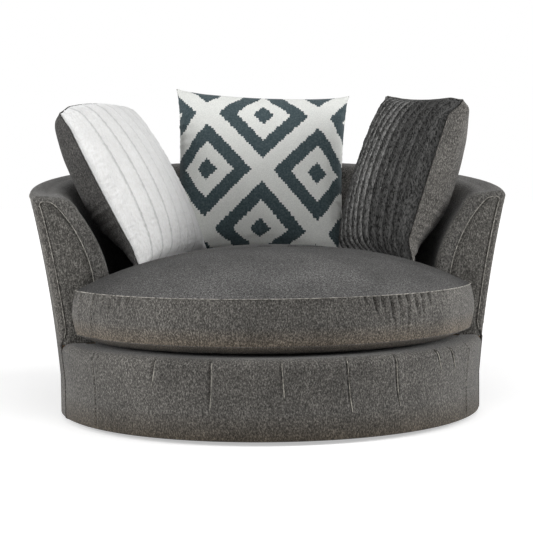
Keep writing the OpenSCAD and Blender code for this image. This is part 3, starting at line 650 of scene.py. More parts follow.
EFFECTS: dict[Effect, Callable[[str], bpy.types.NodeTree]] = {
    Effect.YARN: yarn_group,
    Effect.MOTTLE: mottle_group,
    Effect.PILE: pile_group,
    Effect.SCUFF: scuff_group,
    Effect.GRAIN: grain_group,
}


@dataclass(frozen=True)
class Finish:
    """A finish with a name. Each kind of finish lays out its own nodes."""

    name: str

    def material(self) -> bpy.types.Material:
        """The finish as a material, made at its first use."""
        found = bpy.data.materials.get(self.name)
        if found:
            return found
        made = bpy.data.materials.new(self.name)
        made.use_nodes = True
        made.node_tree.nodes.clear()
        desk = Desk(made.node_tree)
        coordinates = desk.add("TexCoord").outputs
        shader = desk.add("BsdfPrincipled", self.laid_out(desk, coordinates["Object"], coordinates["UV"]))
        desk.add("OutputMaterial", {0: shader.outputs[0]})
        return made

    def laid_out(self, desk: Desk, place: object, sheet: object) -> Sockets:
        """Lays out the nodes that feed the shader.

        Args:
            desk: The desk of the material's tree.
            place: Where a point lies in the frame.
            sheet: Where it lies on the cloth's own map.

        Returns:
            The values and outputs for the Principled shader's inputs.
        """
        raise NotImplementedError

    @staticmethod
    def sheen(weight: float, rough: float, tint: Colour) -> Sockets:
        """The soft edge light of a nap."""
        return {"Sheen Weight": weight, "Sheen Roughness": rough, "Sheen Tint": rgba(tint)}


@dataclass(frozen=True)
class Chenille(Finish):
    """Flecked chenille: short dark and light yarns, mottled where the nap turns."""

    dark: Colour = (0.022, 0.021, 0.020)
    middle: Colour = (0.086, 0.081, 0.074)
    light: Colour = (0.300, 0.286, 0.262)
    fleck: float = 270.0
    nap: float = 0.13
    # Heights over which the colour turns to foot_tone towards the bottom: darker and browner on the band;
    # lighter on the boxing, painted light in the shade of its lower curl.
    foot: Flat = (0.0, 0.0)
    foot_tone: Colour = (0.66, 0.58, 0.48)
    # Depths over which the colour darkens towards the back: painted shade on the seat where the pillows'
    # shadow falls, a touch lighter at the front.
    rear: Flat = (0.0, 0.0)

    def laid_out(self, desk: Desk, place: object, sheet: object) -> Sockets:
        """Flecks toned by a mottle, by a tone towards the foot, and by a painted shade towards the rear, with
        a raised yarn and a nap.
        """
        yarns = {"Vector": place, "Scale": self.fleck, "Dark": rgba(self.dark)}
        yarns |= {"Middle": rgba(self.middle), "Light": rgba(self.light)}
        fleck, height = desk.effect(Effect.YARN, yarns).outputs
        colour = desk.mottled(fleck, place, 7.0, 0.84, 1.14)
        # Towards the foot: darker and browner on the band; on the boxing lighter, painted light where its
        # lower curl is shaded.
        if self.foot[1]:
            low = desk.span(desk.add("SeparateXYZ", {0: place}).outputs[2], *self.foot, 1.0, 0.0)
            colour = desk.mix(low, colour, desk.mix(1.0, colour, self.foot_tone, "MULTIPLY"))
        # Painted shade: darker towards the back of the seat, slightly lighter at its front.
        if self.rear[1]:
            depth = desk.add("SeparateXYZ", {0: place}).outputs[1]
            colour = desk.toned(colour, desk.span(depth, *self.rear, 1.04, 0.40))
        return {
            "Base Color": colour,
            "Roughness": desk.span(height, 0.3, 0.7, 0.98, 0.82),
            "Specular IOR Level": 0.2,
            "Normal": desk.bump(height, 0.7, 0.0016),
        } | self.sheen(self.nap, 0.5, (0.80, 0.82, 0.84))


@dataclass(frozen=True)
class SewingThread(Finish):
    """Pale twisted thread, as it shows along a sewn seam."""

    colour: Colour = (0.42, 0.40, 0.36)

    def laid_out(self, desk: Desk, place: object, sheet: object) -> Sockets:
        """Stitches that catch the light at their crowns and fade between them."""
        fade = desk.span(desk.noise(place, 90.0, 2.0, 0.6), 0.35, 0.65, 0.25, 1.1)
        normal = desk.bump(desk.noise(place, 900.0), 0.5, 0.0006)
        return {"Base Color": desk.toned(self.colour, fade), "Roughness": 0.8, "Normal": normal}


@dataclass(frozen=True)
class Pile(Finish):
    """Soft pile cloth with tufts, toned between its roots and its tips."""

    roots: Colour = (0.90, 0.895, 0.88)
    tips: Colour = (0.985, 0.985, 0.98)
    tuft: float = 130.0
    depth: float = 0.004
    nap: float = 0.6
    # The tone of the painted shade in the grooves.
    groove_shade: float = 0.68
    patch: Flat = (0.96, 1.03)

    def laid_out(self, desk: Desk, place: object, sheet: object) -> Sockets:
        """Tufts over a mottle, with painted shade in the grooves between the ribs, and across the ribbed
        pillow's right side.
        """
        tips, height = desk.effect(Effect.PILE, {"Vector": place, "Scale": self.tuft}).outputs
        colour = desk.mottled(desk.mix(tips, self.roots, self.tips), place, 14.0, *self.patch)
        # The rib attribute holds painted shade: towards 0 the colour darkens to the groove tone, in the
        # grooves and across the ribbed pillow's right side.
        light_share = desk.add("Attribute", attribute_name="rib").outputs["Fac"]
        return {
            "Base Color": desk.toned(colour, desk.span(light_share, 0.0, 1.0, self.groove_shade, 1.0)),
            "Roughness": 0.95,
            "Specular IOR Level": 0.15,
            "Normal": desk.bump(height, 0.8, self.depth),
        } | self.sheen(self.nap, 0.4, (0.95, 0.96, 1.0))


@dataclass(frozen=True)
class DiamondPrint(Finish):
    """Off-white cloth woven with a lattice of dark concentric diamonds, their edges stepped as yarns step."""

    pale: Colour = (0.80, 0.81, 0.78)
    slate: Colour = (0.040, 0.062, 0.070)
    faded: Colour = (0.085, 0.115, 0.125)
    middle: Flat = (0.5, 0.487)
    spacing: Flat = (0.317, 0.340)
    half: Flat = (0.254, 0.273)
    step: float = 0.012
    sway: float = 0.010
    rings: Flat = (0.23, 0.60)

    def laid_out(self, desk: Desk, place: object, sheet: object) -> Sockets:
        """Diamonds on the piece's own UV map, so that they follow the pillow."""
        split = desk.add("SeparateXYZ", {0: sheet}).outputs
        row = desk.math("FLOOR", desk.math("DIVIDE", split[1], self.step))
        jitter = desk.add("TexWhiteNoise", {"W": row}, noise_dimensions="1D").outputs[0]
        sway = desk.math("MULTIPLY", desk.math("SUBTRACT", jitter, 0.5), self.sway)
        u = desk.math("ADD", desk.math("SUBTRACT", split[0], self.middle[0]), sway)
        v = desk.math("MULTIPLY", desk.math("ADD", row, 0.5), self.step)
        v = desk.math("SUBTRACT", v, self.middle[1])
        sets = (self.diamonds(desk, u, v, *offsets) for offsets in ((1.0, 0.0), (0.0, 1.0)))
        reach = desk.math("MINIMUM", *sets)
        core, inside = (desk.math("LESS_THAN", reach, edge) for edge in (self.rings[0], 1.0))
        ring = desk.math("MULTIPLY", desk.math("GREATER_THAN", reach, self.rings[1]), inside)
        dark = desk.math("ADD", core, ring, clamp=True)
        worn = desk.span(desk.noise(place, 160.0, 3.0, 0.7), 0.4, 0.68)
        pale = desk.toned(self.pale, desk.span(desk.noise(place, 320.0), 0.35, 0.65, 0.9, 1.05))
        return {
            "Base Color": desk.mix(dark, pale, desk.mix(worn, self.slate, self.faded)),
            "Roughness": 0.9,
            "Specular IOR Level": 0.2,
            "Normal": desk.bump(desk.noise(place, 600.0, 3.0, 0.7), 0.6, 0.0012),
        } | self.sheen(0.12, 0.5, (1.0, 1.0, 1.0))

    def diamonds(self, desk: Desk, u: object, v: object, across: float, up: float) -> bpy.types.NodeSocket:
        """How far out in its diamond a point is, the edge being 1, for one of the lattice's two sets.

        Args:
            desk: The desk of the material's tree.
            u: Place across the cloth, from its middle.
            v: Place up the cloth, from its middle.
            across: Spacings that the set is moved across.
            up: Spacings that it is moved up.

        Returns:
            The output that holds the value.
        """
        reaches = []
        for place, offset, spacing, half in zip((u, v), (across, up), self.spacing, self.half):
            turned = desk.math("DIVIDE", desk.math("ADD", place, (offset + 17) * spacing), 2 * spacing)
            inside = desk.math("SUBTRACT", desk.math("FRACT", turned), 0.5)
            reaches.append(desk.math("MULTIPLY", desk.math("ABSOLUTE", inside), 2 * spacing / half))
        return desk.math("ADD", *reaches)


@dataclass(frozen=True)
class Timber(Finish):
    """Sawn plywood or hardwood, matt and lightly soiled."""

    pale: Colour = (0.55, 0.38, 0.21)
    dark: Colour = (0.34, 0.20, 0.10)

    def laid_out(self, desk: Desk, place: object, sheet: object) -> Sockets:
        """Grain along the board, with scuffs."""
        grain, height = desk.effect(Effect.GRAIN, {"Vector": place, "Scale": 38.0}).outputs
        scuff = desk.effect(Effect.SCUFF, {"Vector": place, "Scale": 40.0}).outputs["Mask"]
        wood = desk.mix(grain, self.pale, self.dark)
        return {
            "Base Color": desk.toned(wood, desk.span(scuff, 0.0, 1.0, 1.0, 0.82)),
            "Roughness": desk.span(scuff, 0.0, 1.0, 0.62, 0.8),
            "Normal": desk.bump(height, 0.4, 0.0008),
        }


@dataclass(frozen=True)
class Metal(Finish):
    """Plated or bare metal with fine scuffs."""

    colour: Colour = (0.62, 0.63, 0.65)
    worn: Colour = (0.42, 0.42, 0.43)
    rough: Flat = (0.28, 0.5)

    def laid_out(self, desk: Desk, place: object, sheet: object) -> Sockets:
        """Scuffs that dull the metal and darken it a little."""
        scuff, height = desk.effect(Effect.SCUFF, {"Vector": place, "Scale": 90.0}).outputs
        return {
            "Base Color": desk.mix(scuff, self.colour, self.worn),
            "Roughness": desk.span(scuff, 0.0, 1.0, *self.rough),
            "Metallic": 1.0,
            "Normal": desk.bump(height, 0.15, 0.0004),
        }


@dataclass(frozen=True)
class Moulded(Finish):
    """Moulded plastic with a fine spark-eroded texture."""

    colour: Colour = (0.05, 0.05, 0.052)
    worn: Colour = (0.09, 0.09, 0.09)

    def laid_out(self, desk: Desk, place: object, sheet: object) -> Sockets:
        """A fine texture with dull patches."""
        scuff = desk.effect(Effect.SCUFF, {"Vector": place, "Scale": 60.0}).outputs["Mask"]
        return {
            "Base Color": desk.mix(scuff, self.colour, self.worn),
            "Roughness": desk.span(scuff, 0.0, 1.0, 0.4, 0.62),
            "Normal": desk.bump(desk.noise(place, 1500.0), 0.25, 0.0003),
        }


@dataclass(frozen=True)
class Foam(Finish):
    """Foam or wadding: fine open cells or loose fibres."""

    pale: Colour = (0.80, 0.76, 0.62)
    dark: Colour = (0.60, 0.55, 0.40)
    cell: float = 420.0

    def laid_out(self, desk: Desk, place: object, sheet: object) -> Sockets:
        """Cells that darken inwards, over a broad mottle."""
        cells = desk.noise(place, self.cell, 3.0, 0.7)
        colour = desk.mix(desk.span(cells, 0.4, 0.62), self.dark, self.pale)
        colour = desk.mottled(colour, place, 5.0, 0.92, 1.05)
        return {"Base Color": colour, "Roughness": 0.95, "Normal": desk.bump(cells, 0.6, 0.0015)}


BODY_CLOTH = Chenille("flecked_chenille")
BAND_CLOTH = Chenille("front_band_chenille", foot=(0.015, 0.085), nap=0.18)
# Its foot tone lightens and warms the boxing's lower curl: painted light against the shade of the curl.
BOXING_CLOTH = Chenille("boxing_chenille", foot=(0.262, 0.315), foot_tone=(1.30, 1.14, 0.96))
# A darker copy of the body chenille for the left pillow's back: painted shade, as that back lies in shade.
SHADED_BACK_CLOTH = Chenille(
    "shaded_pillow_back_chenille", middle=(0.060, 0.058, 0.056), light=(0.17, 0.165, 0.155), nap=0.05
)
# A darker copy of the body chenille for the arm fronts: painted shade that sets them off from the sheen on the
# rolled edges beside them.
SHADED_PANEL_CLOTH = Chenille("shaded_arm_panel_chenille", middle=(0.078, 0.074, 0.067), light=(0.29, 0.278, 0.255))
RIM_CLOTH = Chenille("rim_chenille", middle=(0.098, 0.094, 0.088), light=(0.27, 0.26, 0.24), nap=0.12)
# The seat top carries a painted shade, darker towards the back under the pillows.
SEAT_CLOTH = Chenille(
    "seat_top_chenille",
    middle=(0.096, 0.094, 0.092),
    light=(0.255, 0.251, 0.246),
    nap=0.02,
    rear=(-0.54, -0.22),
)
SEAM = SewingThread("seam_thread")
DART_THREAD = SewingThread("dart_thread", colour=(0.62, 0.59, 0.52))
WHITE_PILE = Pile("white_pile")
DARK_PILE = Pile(
    "ribbed_grey_pile",
    roots=(0.040, 0.040, 0.039),
    tips=(0.42, 0.417, 0.407),
    tuft=150.0,
    depth=0.003,
    nap=0.10,
    groove_shade=0.18,
    patch=(0.86, 1.1),
)
PRINT = DiamondPrint("diamond_lattice_cloth")
BIRCH = Timber("birch_plywood")
HARDWOOD = Timber("sawn_hardwood", pale=(0.50, 0.33, 0.19), dark=(0.30, 0.17, 0.09))
THIN_BOARD = Timber("bent_hardboard", pale=(0.33, 0.21, 0.12), dark=(0.23, 0.14, 0.08))
STEEL = Metal("brushed_steel")
ZINC = Metal("zinc_plate", colour=(0.70, 0.72, 0.74), worn=(0.50, 0.52, 0.52), rough=(0.22, 0.42))
BRASS = Metal("brass", colour=(0.78, 0.58, 0.26), worn=(0.52, 0.38, 0.18), rough=(0.2, 0.4))
CHROME = Metal("bearing_chrome", colour=(0.80, 0.80, 0.82), worn=(0.65, 0.65, 0.67), rough=(0.06, 0.16))
SPRING_STEEL = Metal("spring_steel", colour=(0.24, 0.24, 0.25), worn=(0.14, 0.13, 0.12), rough=(0.35, 0.55))
NYLON = Moulded("nylon", colour=(0.62, 0.58, 0.48), worn=(0.52, 0.48, 0.40))
BLACK_PLASTIC = Moulded("black_plastic")
FOAM = Foam("cut_foam")
WADDING = Foam("wadding", pale=(0.86, 0.86, 0.84), dark=(0.70, 0.70, 0.69), cell=160.0)
DUST_CLOTH = Foam("black_dust_cloth", pale=(0.035, 0.035, 0.037), dark=(0.012, 0.012, 0.013), cell=700.0)


# Forms


@dataclass(frozen=True)
class ShellForm:
    """Sizes of the barrel shell, in metres, as the frame has them."""

    base_r: float = 0.640
    rim_r: float = 0.725
    arm_h: float = 0.667
    back_h: float = 0.770
    front: float = 0.154
    hem_z: float = 0.009
    tuck: float = 0.004
    flare_z: float = 0.120
    flare_line: float = 0.54
    rim_w: float = 0.100
    rim_round: float = 0.014
    well_r: float = 0.500
    lean_z: float = 0.367
    deck_z: float = 0.232
    cloth: float = 0.003

    def outer_at(self, z: float, top: float) -> float:
        """Radius of the outer wall at a height, where the rim is at height top."""
        share = max(0.0, (z - self.flare_z) / (top - self.flare_z))
        return between(self.base_r, self.rim_r, share * between(self.flare_line, 1, share))

    def inner_at(self, z: float, top: float) -> float:
        """Radius of the inner wall at a height, where the rim is at height top."""
        share = max(0.0, (z - self.lean_z) / (top - self.lean_z))
        return self.well_r + (self.rim_r - self.rim_w - self.well_r) * share * share

    def angle(self, r: float, share: float, front: float) -> float:
        """Angle of a point at a share of the way round, between ends that lie at y = -front."""
        cut_at = math.asin(front / r)
        return between(-cut_at, math.pi + cut_at, share)

    def rim_at(self, turn: float) -> float:
        """Height of the rim at an angle from the right of the chair towards its back."""
        slope = (self.back_h - self.arm_h) / (self.rim_r + self.front)
        return self.arm_h + slope * (self.rim_r * math.sin(turn) + self.front)

    def rim_top(self, share: float) -> float:
        """Height of the rim at a share of the way round."""
        return self.rim_at(self.angle(self.rim_r, share, self.front))

    def hem(self, top: float) -> list[Flat]:
        """The hem turned under the foot of the outer wall, from its edge out."""
        foot = self.outer_at(self.hem_z, top)
        return [(foot - inset, self.hem_z + lift) for inset, lift in ((0.016, self.tuck), (0.007, 0.0008))]

    def wall(self, high: float, steps: int, top: float) -> list[Flat]:
        """The outer wall from its hem up to a height, evenly stepped."""
        heights = [between(self.hem_z + self.tuck, high, share) for share in shares(steps)]
        return [(self.outer_at(z, top), z) for z in heights]


@dataclass(frozen=True)
class Ridge:
    """A soft ridge beside a seam: its height, its distance from the seam and its half width.

    A height below 0 makes a groove.
    """

    height: float
    away: float
    width: float

    def at(self, distance: float) -> float:
        """Its height at a distance from the seam."""
        return self.height * bell(distance - self.away, self.width)


def raised_by(ridges: Sequence[Ridge], distance: float) -> float:
    """The height of several ridges at a distance from their seam."""
    return sum(ridge.at(distance) for ridge in ridges)


@dataclass(frozen=True)
class SkinPoint:
    """A point of the shell's section: its place, its place on the arm panel's seam, and the roll between."""

    at: Flat
    seam: Flat
    roll: float


@dataclass
class Shell:
    """The barrel: outer cover, rim and inner wall, arm panels, and the seams between them.

    Its sizes are in metres. A drop is measured down from the rim, and flat and seam_flat are how far
    a point lies inside the rim's radius and below its top.
    """

    form: ShellForm = field(default_factory=ShellForm)
    outer_strip: float = 0.019
    inner_strip: float = 0.052
    outer_roll: float = 0.012
    inner_roll: float = 0.028
    fold: float = 0.001
    seam_drop: float = 0.028
    seam_round: float = 0.010
    flat: Flat = (0.060, 0.004)
    seam_flat: Flat = (0.052, 0.021)
    wall_drop: float = 0.048
    wall_seam_drop: float = 0.085
    wall_low: float = 0.204
    wall_middle: Flat = (0.60, 0.45)
    seam_dip: float = 0.014
    strip_edge: Flat = (0.0012, 0.0022)
    panel_low: float = 0.012
    panel_arch: float = 0.045
    panel_sunk: float = 0.0016
    panel_pad: Flat = (0.0046, 0.018)
    panel_wave: float = 0.0008
    round_steps: int = 120
    roll_steps: int = 6
    body: str = "chair_body"

    def outer_section(self, top: float) -> list[SkinPoint]:
        """The section from the hem up to the seam under the rim.

        Args:
            top: Height of the rim there.

        Returns:
            Its points, from the hem up.
        """
        form, fold, steps = self.form, self.fold, 30
        points = [SkinPoint((r, z), (r - fold, z), fold) for r, z in form.hem(top)]
        for share, (r, z) in zip(shares(steps), form.wall(top - form.rim_round, steps, top)):
            free = smooth((z - form.deck_z + 0.012) / 0.05)
            seam = (r - between(fold, self.outer_strip, free), z - self.seam_dip * share**6)
            points.append(SkinPoint((r, z), seam, between(fold, self.outer_roll, free)))
        return points

    def inner_section(self, top: float) -> list[SkinPoint]:
        """The section from the seam under the rim, over it, and down the inner wall.

        Args:
            top: Height of the rim there.

        Returns:
            Its points, from the outside in.
        """
        form, points = self.form, []
        edge, drop, curl = form.rim_round, self.seam_drop, self.seam_round
        out = form.outer_at(top - edge, top)
        for share in shares(6):
            at = quarter((out - edge, top - edge), edge, share)
            points.append(SkinPoint(at, quarter((out - drop, top - drop), curl, share), self.outer_roll))
        flat, seam_flat = ((form.rim_r - inset, top - down) for inset, down in (self.flat, self.seam_flat))
        for share in shares(6, 1):
            at = (between(out - edge, flat[0], share), between(top, flat[1], share**2))
            seam_z = between(top - drop + curl, seam_flat[1], share**2)
            seam = (between(out - drop, seam_flat[0], share), seam_z)
            points.append(SkinPoint(at, seam, between(self.outer_roll, self.inner_roll, share)))
        wall_z, seam_z = top - self.wall_drop, top - self.wall_seam_drop
        wall = (form.inner_at(wall_z, top), wall_z)
        wall_seam = (form.inner_at(seam_z, top) + self.inner_strip, seam_z)
        pull = (form.inner_at(top - 0.014, top) - 0.005, top - 0.001)
        seam_pull = (form.inner_at(top - 0.030, top) + self.inner_strip + 0.003, top - 0.026)
        for share in shares(12, 1):
            at, seam = bezier(flat, pull, wall, share), bezier(seam_flat, seam_pull, wall_seam, share)
            points.append(SkinPoint(at, seam, self.inner_roll))
        for share in shares(24, 1):
            z, seam_z = (between(start[1], self.wall_low, share) for start in (wall, wall_seam))
            seam = (form.inner_at(seam_z, top) + self.inner_strip, seam_z)
            points.append(SkinPoint((form.inner_at(z, top), z), seam, self.inner_roll))
        return points

    def from_wall(self, at: Vector) -> Vector:
        """The way out from the middle of the shell's wall."""
        core = from_axis(at).normalized() * self.wall_middle[0]
        return Vector((at.x - core.x, at.y - core.y, at.z - self.wall_middle[1]))

    def skin(self, name: str, section: Callable[[float], list[SkinPoint]]) -> bpy.types.Object:
        """Lays a cover round the shell, with its front edges rolled in to the arm panels' seams.

        Args:
            name: The piece's name.
            section: Gives the section's points for a rim height.

        Returns:
            The cover with its wall.
        """
        form, ends = self.form, self.roll_steps + 2
        rows, columns = self.round_steps + 2 * ends, len(section(form.arm_h)) - 1
        sections: dict[int, list[SkinPoint]] = {}
        end_points = section(form.arm_h)

        def place(u: float, v: float) -> Vector:
            """The point at a share u of the section and v of the way round."""
            row, column = round(v * rows), round(u * columns)
            if ends <= row <= rows - ends:
                share = (row - ends) / self.round_steps
                if row not in sections:
                    sections[row] = section(form.rim_top(share))
                point = sections[row][column]
                turn = form.angle(point.at[0], share, form.front - point.roll)
                return polar(point.at[0], turn, point.at[1])
            side = 1 if row < ends else -1
            step = ends - row if side > 0 else row - rows + ends
            return self.rolled(end_points[column], step, side)

        sheet = laid(name, columns, rows, place, self.from_wall)
        return closed(sheet, form.cloth)

    def rolled(self, point: SkinPoint, step: int, side: int) -> Vector:
        """A point of the front edge, after some steps of its roll.

        Args:
            point: The section's point.
            step: Steps from the wall, the last two being the flat strip and its edge in the seam.
            side: 1 for the right arm and -1 for the left.

        Returns:
            The point.
        """
        gap, y = math.dist(point.at, point.seam), -self.form.front
        if step <= self.roll_steps:
            turn = math.pi / 2 * step / self.roll_steps
            inset = point.roll * (1 - math.cos(turn)) / max(gap, 1e-6)
            y += point.roll * (1 - math.sin(turn))
        elif step == self.roll_steps + 1:
            inset = 1.0 - self.strip_edge[0] / max(gap, 0.002)
        else:
            inset, y = 1.0, y + self.strip_edge[1]
        r, z = (between(start, end, min(1.0, inset)) for start, end in zip(point.at, point.seam))
        return abreast(side, r, y, z)

    def arm_seam(self, low: float) -> tuple[list[Flat], list[Flat]]:
        """The seam round an arm panel above a height: up its outer side, and over the top and down."""
        top = self.form.arm_h
        halves = (self.outer_section(top)[2:-1], self.inner_section(top))
        outer, inner = ([point.seam for point in half if point.seam[1] >= low] for half in halves)
        return outer, inner

    def arm_panel(self, side: int) -> None:
        """Cuts and pads the flat panel on the front of an arm.

        Args:
            side: 1 for the right arm and -1 for the left.
        """
        word = "right" if side > 0 else "left"
        form = self.form
        outer, inner = self.arm_seam(form.deck_z - self.panel_low)
        arch = [point for point in inner if point[1] > form.arm_h - self.panel_arch]
        half = len(arch) // 2
        left = spread([*outer, *arch[: half + 1]])
        right = spread([*arch[half:], *inner[len(arch) :]][::-1])

        def place(u: float, v: float) -> Vector:
            """The point at a share u across the panel and v up it."""
            up = 1 - (1 - v) ** 1.6
            a, b = left(up), right(up)
            r, z = (between(start, end, u) for start, end in zip(a, b))
            near = min(u, 1 - u) * math.dist(a, b)
            y = -form.front + self.panel_sunk - self.panel_pad[0] * smooth(near / self.panel_pad[1])
            return abreast(side, r, y - self.panel_wave * ripple(r * 14, z * 9, side * 3.0), z)

        sheet = laid(f"arm_panel_{word}", 36, 72, place, lambda _: Vector((0, -1, 0)))
        panel = closed(sheet, form.cloth)
        fitted(panel, self.body, SHADED_PANEL_CLOTH, [f"arm_cover_{word}"], f"arm_cover_{word}")

    def rim_seam(self) -> list[Vector]:
        """The seam under the rim, round the back from arm to arm."""
        form, points = self.form, []
        for share in shares(self.round_steps):
            top = form.rim_top(share)
            r = form.outer_at(top - form.rim_round, top) + 0.0004
            turn = form.angle(r, share, form.front - self.outer_roll)
            points.append(polar(r, turn, top - form.rim_round - 0.0005))
        return points

    def side_seams(self) -> list[list[Vector]]:
        """The seams along the outer edge of each arm, and down the middle of the back."""
        form, proud = self.form, 0.0003
        y, low, high = self.outer_roll - form.front, form.deck_z + 0.03, form.arm_h - form.rim_round
        arm = [between(low, high, share) for share in shares(24)]
        arm = [(form.outer_at(z, form.arm_h) + proud, z) for z in arm]
        arms = [[abreast(side, r, y, z) for r, z in arm] for side in (1, -1)]
        back = form.wall(form.back_h - form.rim_round, 32, form.back_h)
        return [*arms, [Vector((0.0, r + proud, z)) for r, z in back]]

    def build(self) -> None:
        """Builds and dresses the shell's covers and seams."""
        outer = self.skin("shell_outer_cover", self.outer_section)
        fitted(outer, self.body, BODY_CLOTH, ["outer_cover"], "outer_cover")
        inner = self.skin("shell_rim_and_inner_wall", self.inner_section)
        fitted(inner, self.body, RIM_CLOTH, ["inner_cover"], "inner_cover")
        for side in (1, -1):
            self.arm_panel(side)
        seam, y = self.arm_seam(self.form.deck_z + 0.004), -self.form.front - 0.0008
        lines = [[abreast(side, r, y, z) for half in seam for r, z in half] for side in (1, -1)]
        panels = thread("arm_panel_seams", lines, 0.0013)
        fitted(panels, self.body, SEAM, ["arm_welts"], "arm_welts")
        shell = thread("shell_seams", [self.rim_seam(), *self.side_seams()], 0.0009)
        fitted(shell, self.body, SEAM, slot="arm_welts")


@dataclass(frozen=True)
class Dart:
    """A sewn dart in the front cover.

    It has its angle from the middle of the front, the heights of its two ends, and the degrees that it leans.
    """

    at: float
    high: float
    low: float
    slant: float


DART_RIDGES = (Ridge(0.0022, 0.007, 0.008), Ridge(0.0012, -0.012, 0.009), Ridge(-0.0060, -0.0030, 0.0036))
SEAM_RIDGES = (Ridge(0.0012, 0.009, 0.008), Ridge(-0.0026, 0.0, 0.0035))


@dataclass
class FrontBand:
    """The padded band below the seat: its cover with darts and seams, and the deck behind it."""

    form: ShellForm = field(default_factory=ShellForm)
    round_r: float = 0.026
    turn_in: float = 0.040
    darts: tuple[Dart, ...] = (
        Dart(-34.7, 0.222, 0.150, -1.4),
        Dart(-20.0, 0.222, 0.092, -0.8),
        Dart(-3.4, 0.222, 0.128, 0.6),
        Dart(12.5, 0.222, 0.084, 1.4),
        Dart(25.8, 0.222, 0.088, 1.6),
        Dart(40.2, 0.224, 0.172, 1.6),
        Dart(46.5, 0.224, 0.168, 2.0),
    )
    full_seams: tuple[float, ...] = (-56.0, 56.0)
    wave: float = 0.0012
    arm_gap: float = 0.0003
    columns: int = 560
    body: str = "chair_body"

    def section(self) -> list[Flat]:
        """The band's section from under its hem to the deck's edge."""
        form = self.form
        high = form.deck_z - self.round_r
        points = form.hem(form.arm_h) + form.wall(high, 18, form.arm_h)
        edge = form.outer_at(high, form.arm_h) - self.round_r
        points += [quarter((edge, high), self.round_r, share) for share in shares(8, 1)]
        return [*points, (edge - self.turn_in, form.deck_z)]

    def dart_at(self, dart: Dart, z: float) -> float:
        """Angle of a dart at a height, in degrees from the middle of the front."""
        share = (dart.high - z) / (dart.high - dart.low)
        return dart.at + dart.slant * share * between(0.6, 1.0, share)

    def pinch(self, degrees: float, r: float, z: float) -> float:
        """How far the cover stands out from its plain form.

        Args:
            degrees: Angle from the middle of the front.
            r: Radius there.
            z: Height there.

        Returns:
            Metres outwards.
        """
        out = self.wave * ripple(degrees * 0.11, z * 9.0, 3.0)
        for dart in self.darts:
            away = math.radians(degrees - self.dart_at(dart, z)) * r
            out += smooth((z - dart.low) / 0.05) * raised_by(DART_RIDGES, away)
        for seam in self.full_seams:
            out += raised_by(SEAM_RIDGES, abs(math.radians(degrees - seam) * r))
        return out

    def cover(self) -> None:
        """Lays the cover round the front."""
        form, points = self.form, self.section()
        last = len(points) - 1

        def place(u: float, v: float) -> Vector:
            """The point at a share u of the way round and v up the section."""
            r, z = points[round(v * last)]
            span = math.pi / 2 - math.asin((form.front + self.arm_gap) / r)
            turn = span * (2 * u - 1)
            ends = smooth(min(u, 1 - u) / 0.02)
            wall = smooth((z - form.hem_z) / 0.03) * (1 if v < 1 else 0)
            r += self.pinch(math.degrees(turn), r, z) * ends * wall
            return fronted(r, turn, z)

        sheet = laid("front_band_cover", self.columns, last, place)
        fitted(closed(sheet, form.cloth), self.body, BAND_CLOTH, ["front_cover"], "front_cover")

    def on_cover(self, degrees: float, r: float, z: float, proud: float) -> Vector:
        """The point some way out from the cover, at an angle from the middle of the front."""
        return fronted(r + self.pinch(degrees, r, z) + proud, math.radians(degrees), z)

    def threads(self) -> None:
        """Sews the darts and the two full seams."""
        form, darts = self.form, []
        edge = form.deck_z - self.round_r
        for dart in self.darts:
            run = []
            for share in shares(18):
                z = between(dart.high, dart.low, share)
                inset = self.round_r - math.sqrt(max(0.0, self.round_r**2 - max(0.0, z - edge) ** 2))
                r = form.outer_at(z, form.arm_h) - inset
                run.append(self.on_cover(self.dart_at(dart, z), r, z, 0.0012))
            darts.append(run)
        heights = [between(form.hem_z, edge, share) + 0.006 for share in shares(24)]
        wall = [(form.outer_at(z, form.arm_h), z) for z in heights]
        seams = [[self.on_cover(seam, r, z, -0.0002) for r, z in wall] for seam in self.full_seams]
        fitted(thread("front_band_darts", darts, 0.0009), self.body, DART_THREAD, slot="front_cover")
        fitted(thread("front_band_seams", seams, 0.0006), self.body, SEAM, slot="front_cover")

    def deck(self) -> None:
        """Cuts the deck cloth that the cushion lies on."""
        form = self.form
        front_r = form.outer_at(form.deck_z, form.arm_h) - self.round_r - self.turn_in + 0.002
        rear_r, y, steps = form.well_r - 0.0016, form.front + self.arm_gap, 48
        corner, rear = math.asin(y / front_r), math.asin(y / rear_r)
        plan = arc(front_r, math.pi + corner, 2 * math.pi - corner, steps)
        plan += arc(rear_r, -rear, math.pi + rear, steps)
        outline = [Vector((*at, form.deck_z - 0.002)) for at in plan]
        deck = cut("seat_deck_cover", outline, [(0.01, 0.0006)])
        finish_with(deck, "SOLIDIFY", thickness=0.002, offset=-1.0)
        fitted(closed(deck), self.body, BODY_CLOTH, ["deck_cover"], "deck_cover")

    def build(self) -> None:
        """Builds and dresses the band and the deck."""
        self.cover()
        self.threads()
        self.deck()


PANELS = ("bottom", "boxing", "top")
CREASE_RIDGES = (Ridge(-0.0052, 0.0, 0.24), Ridge(0.0024, 0.9, 0.55))


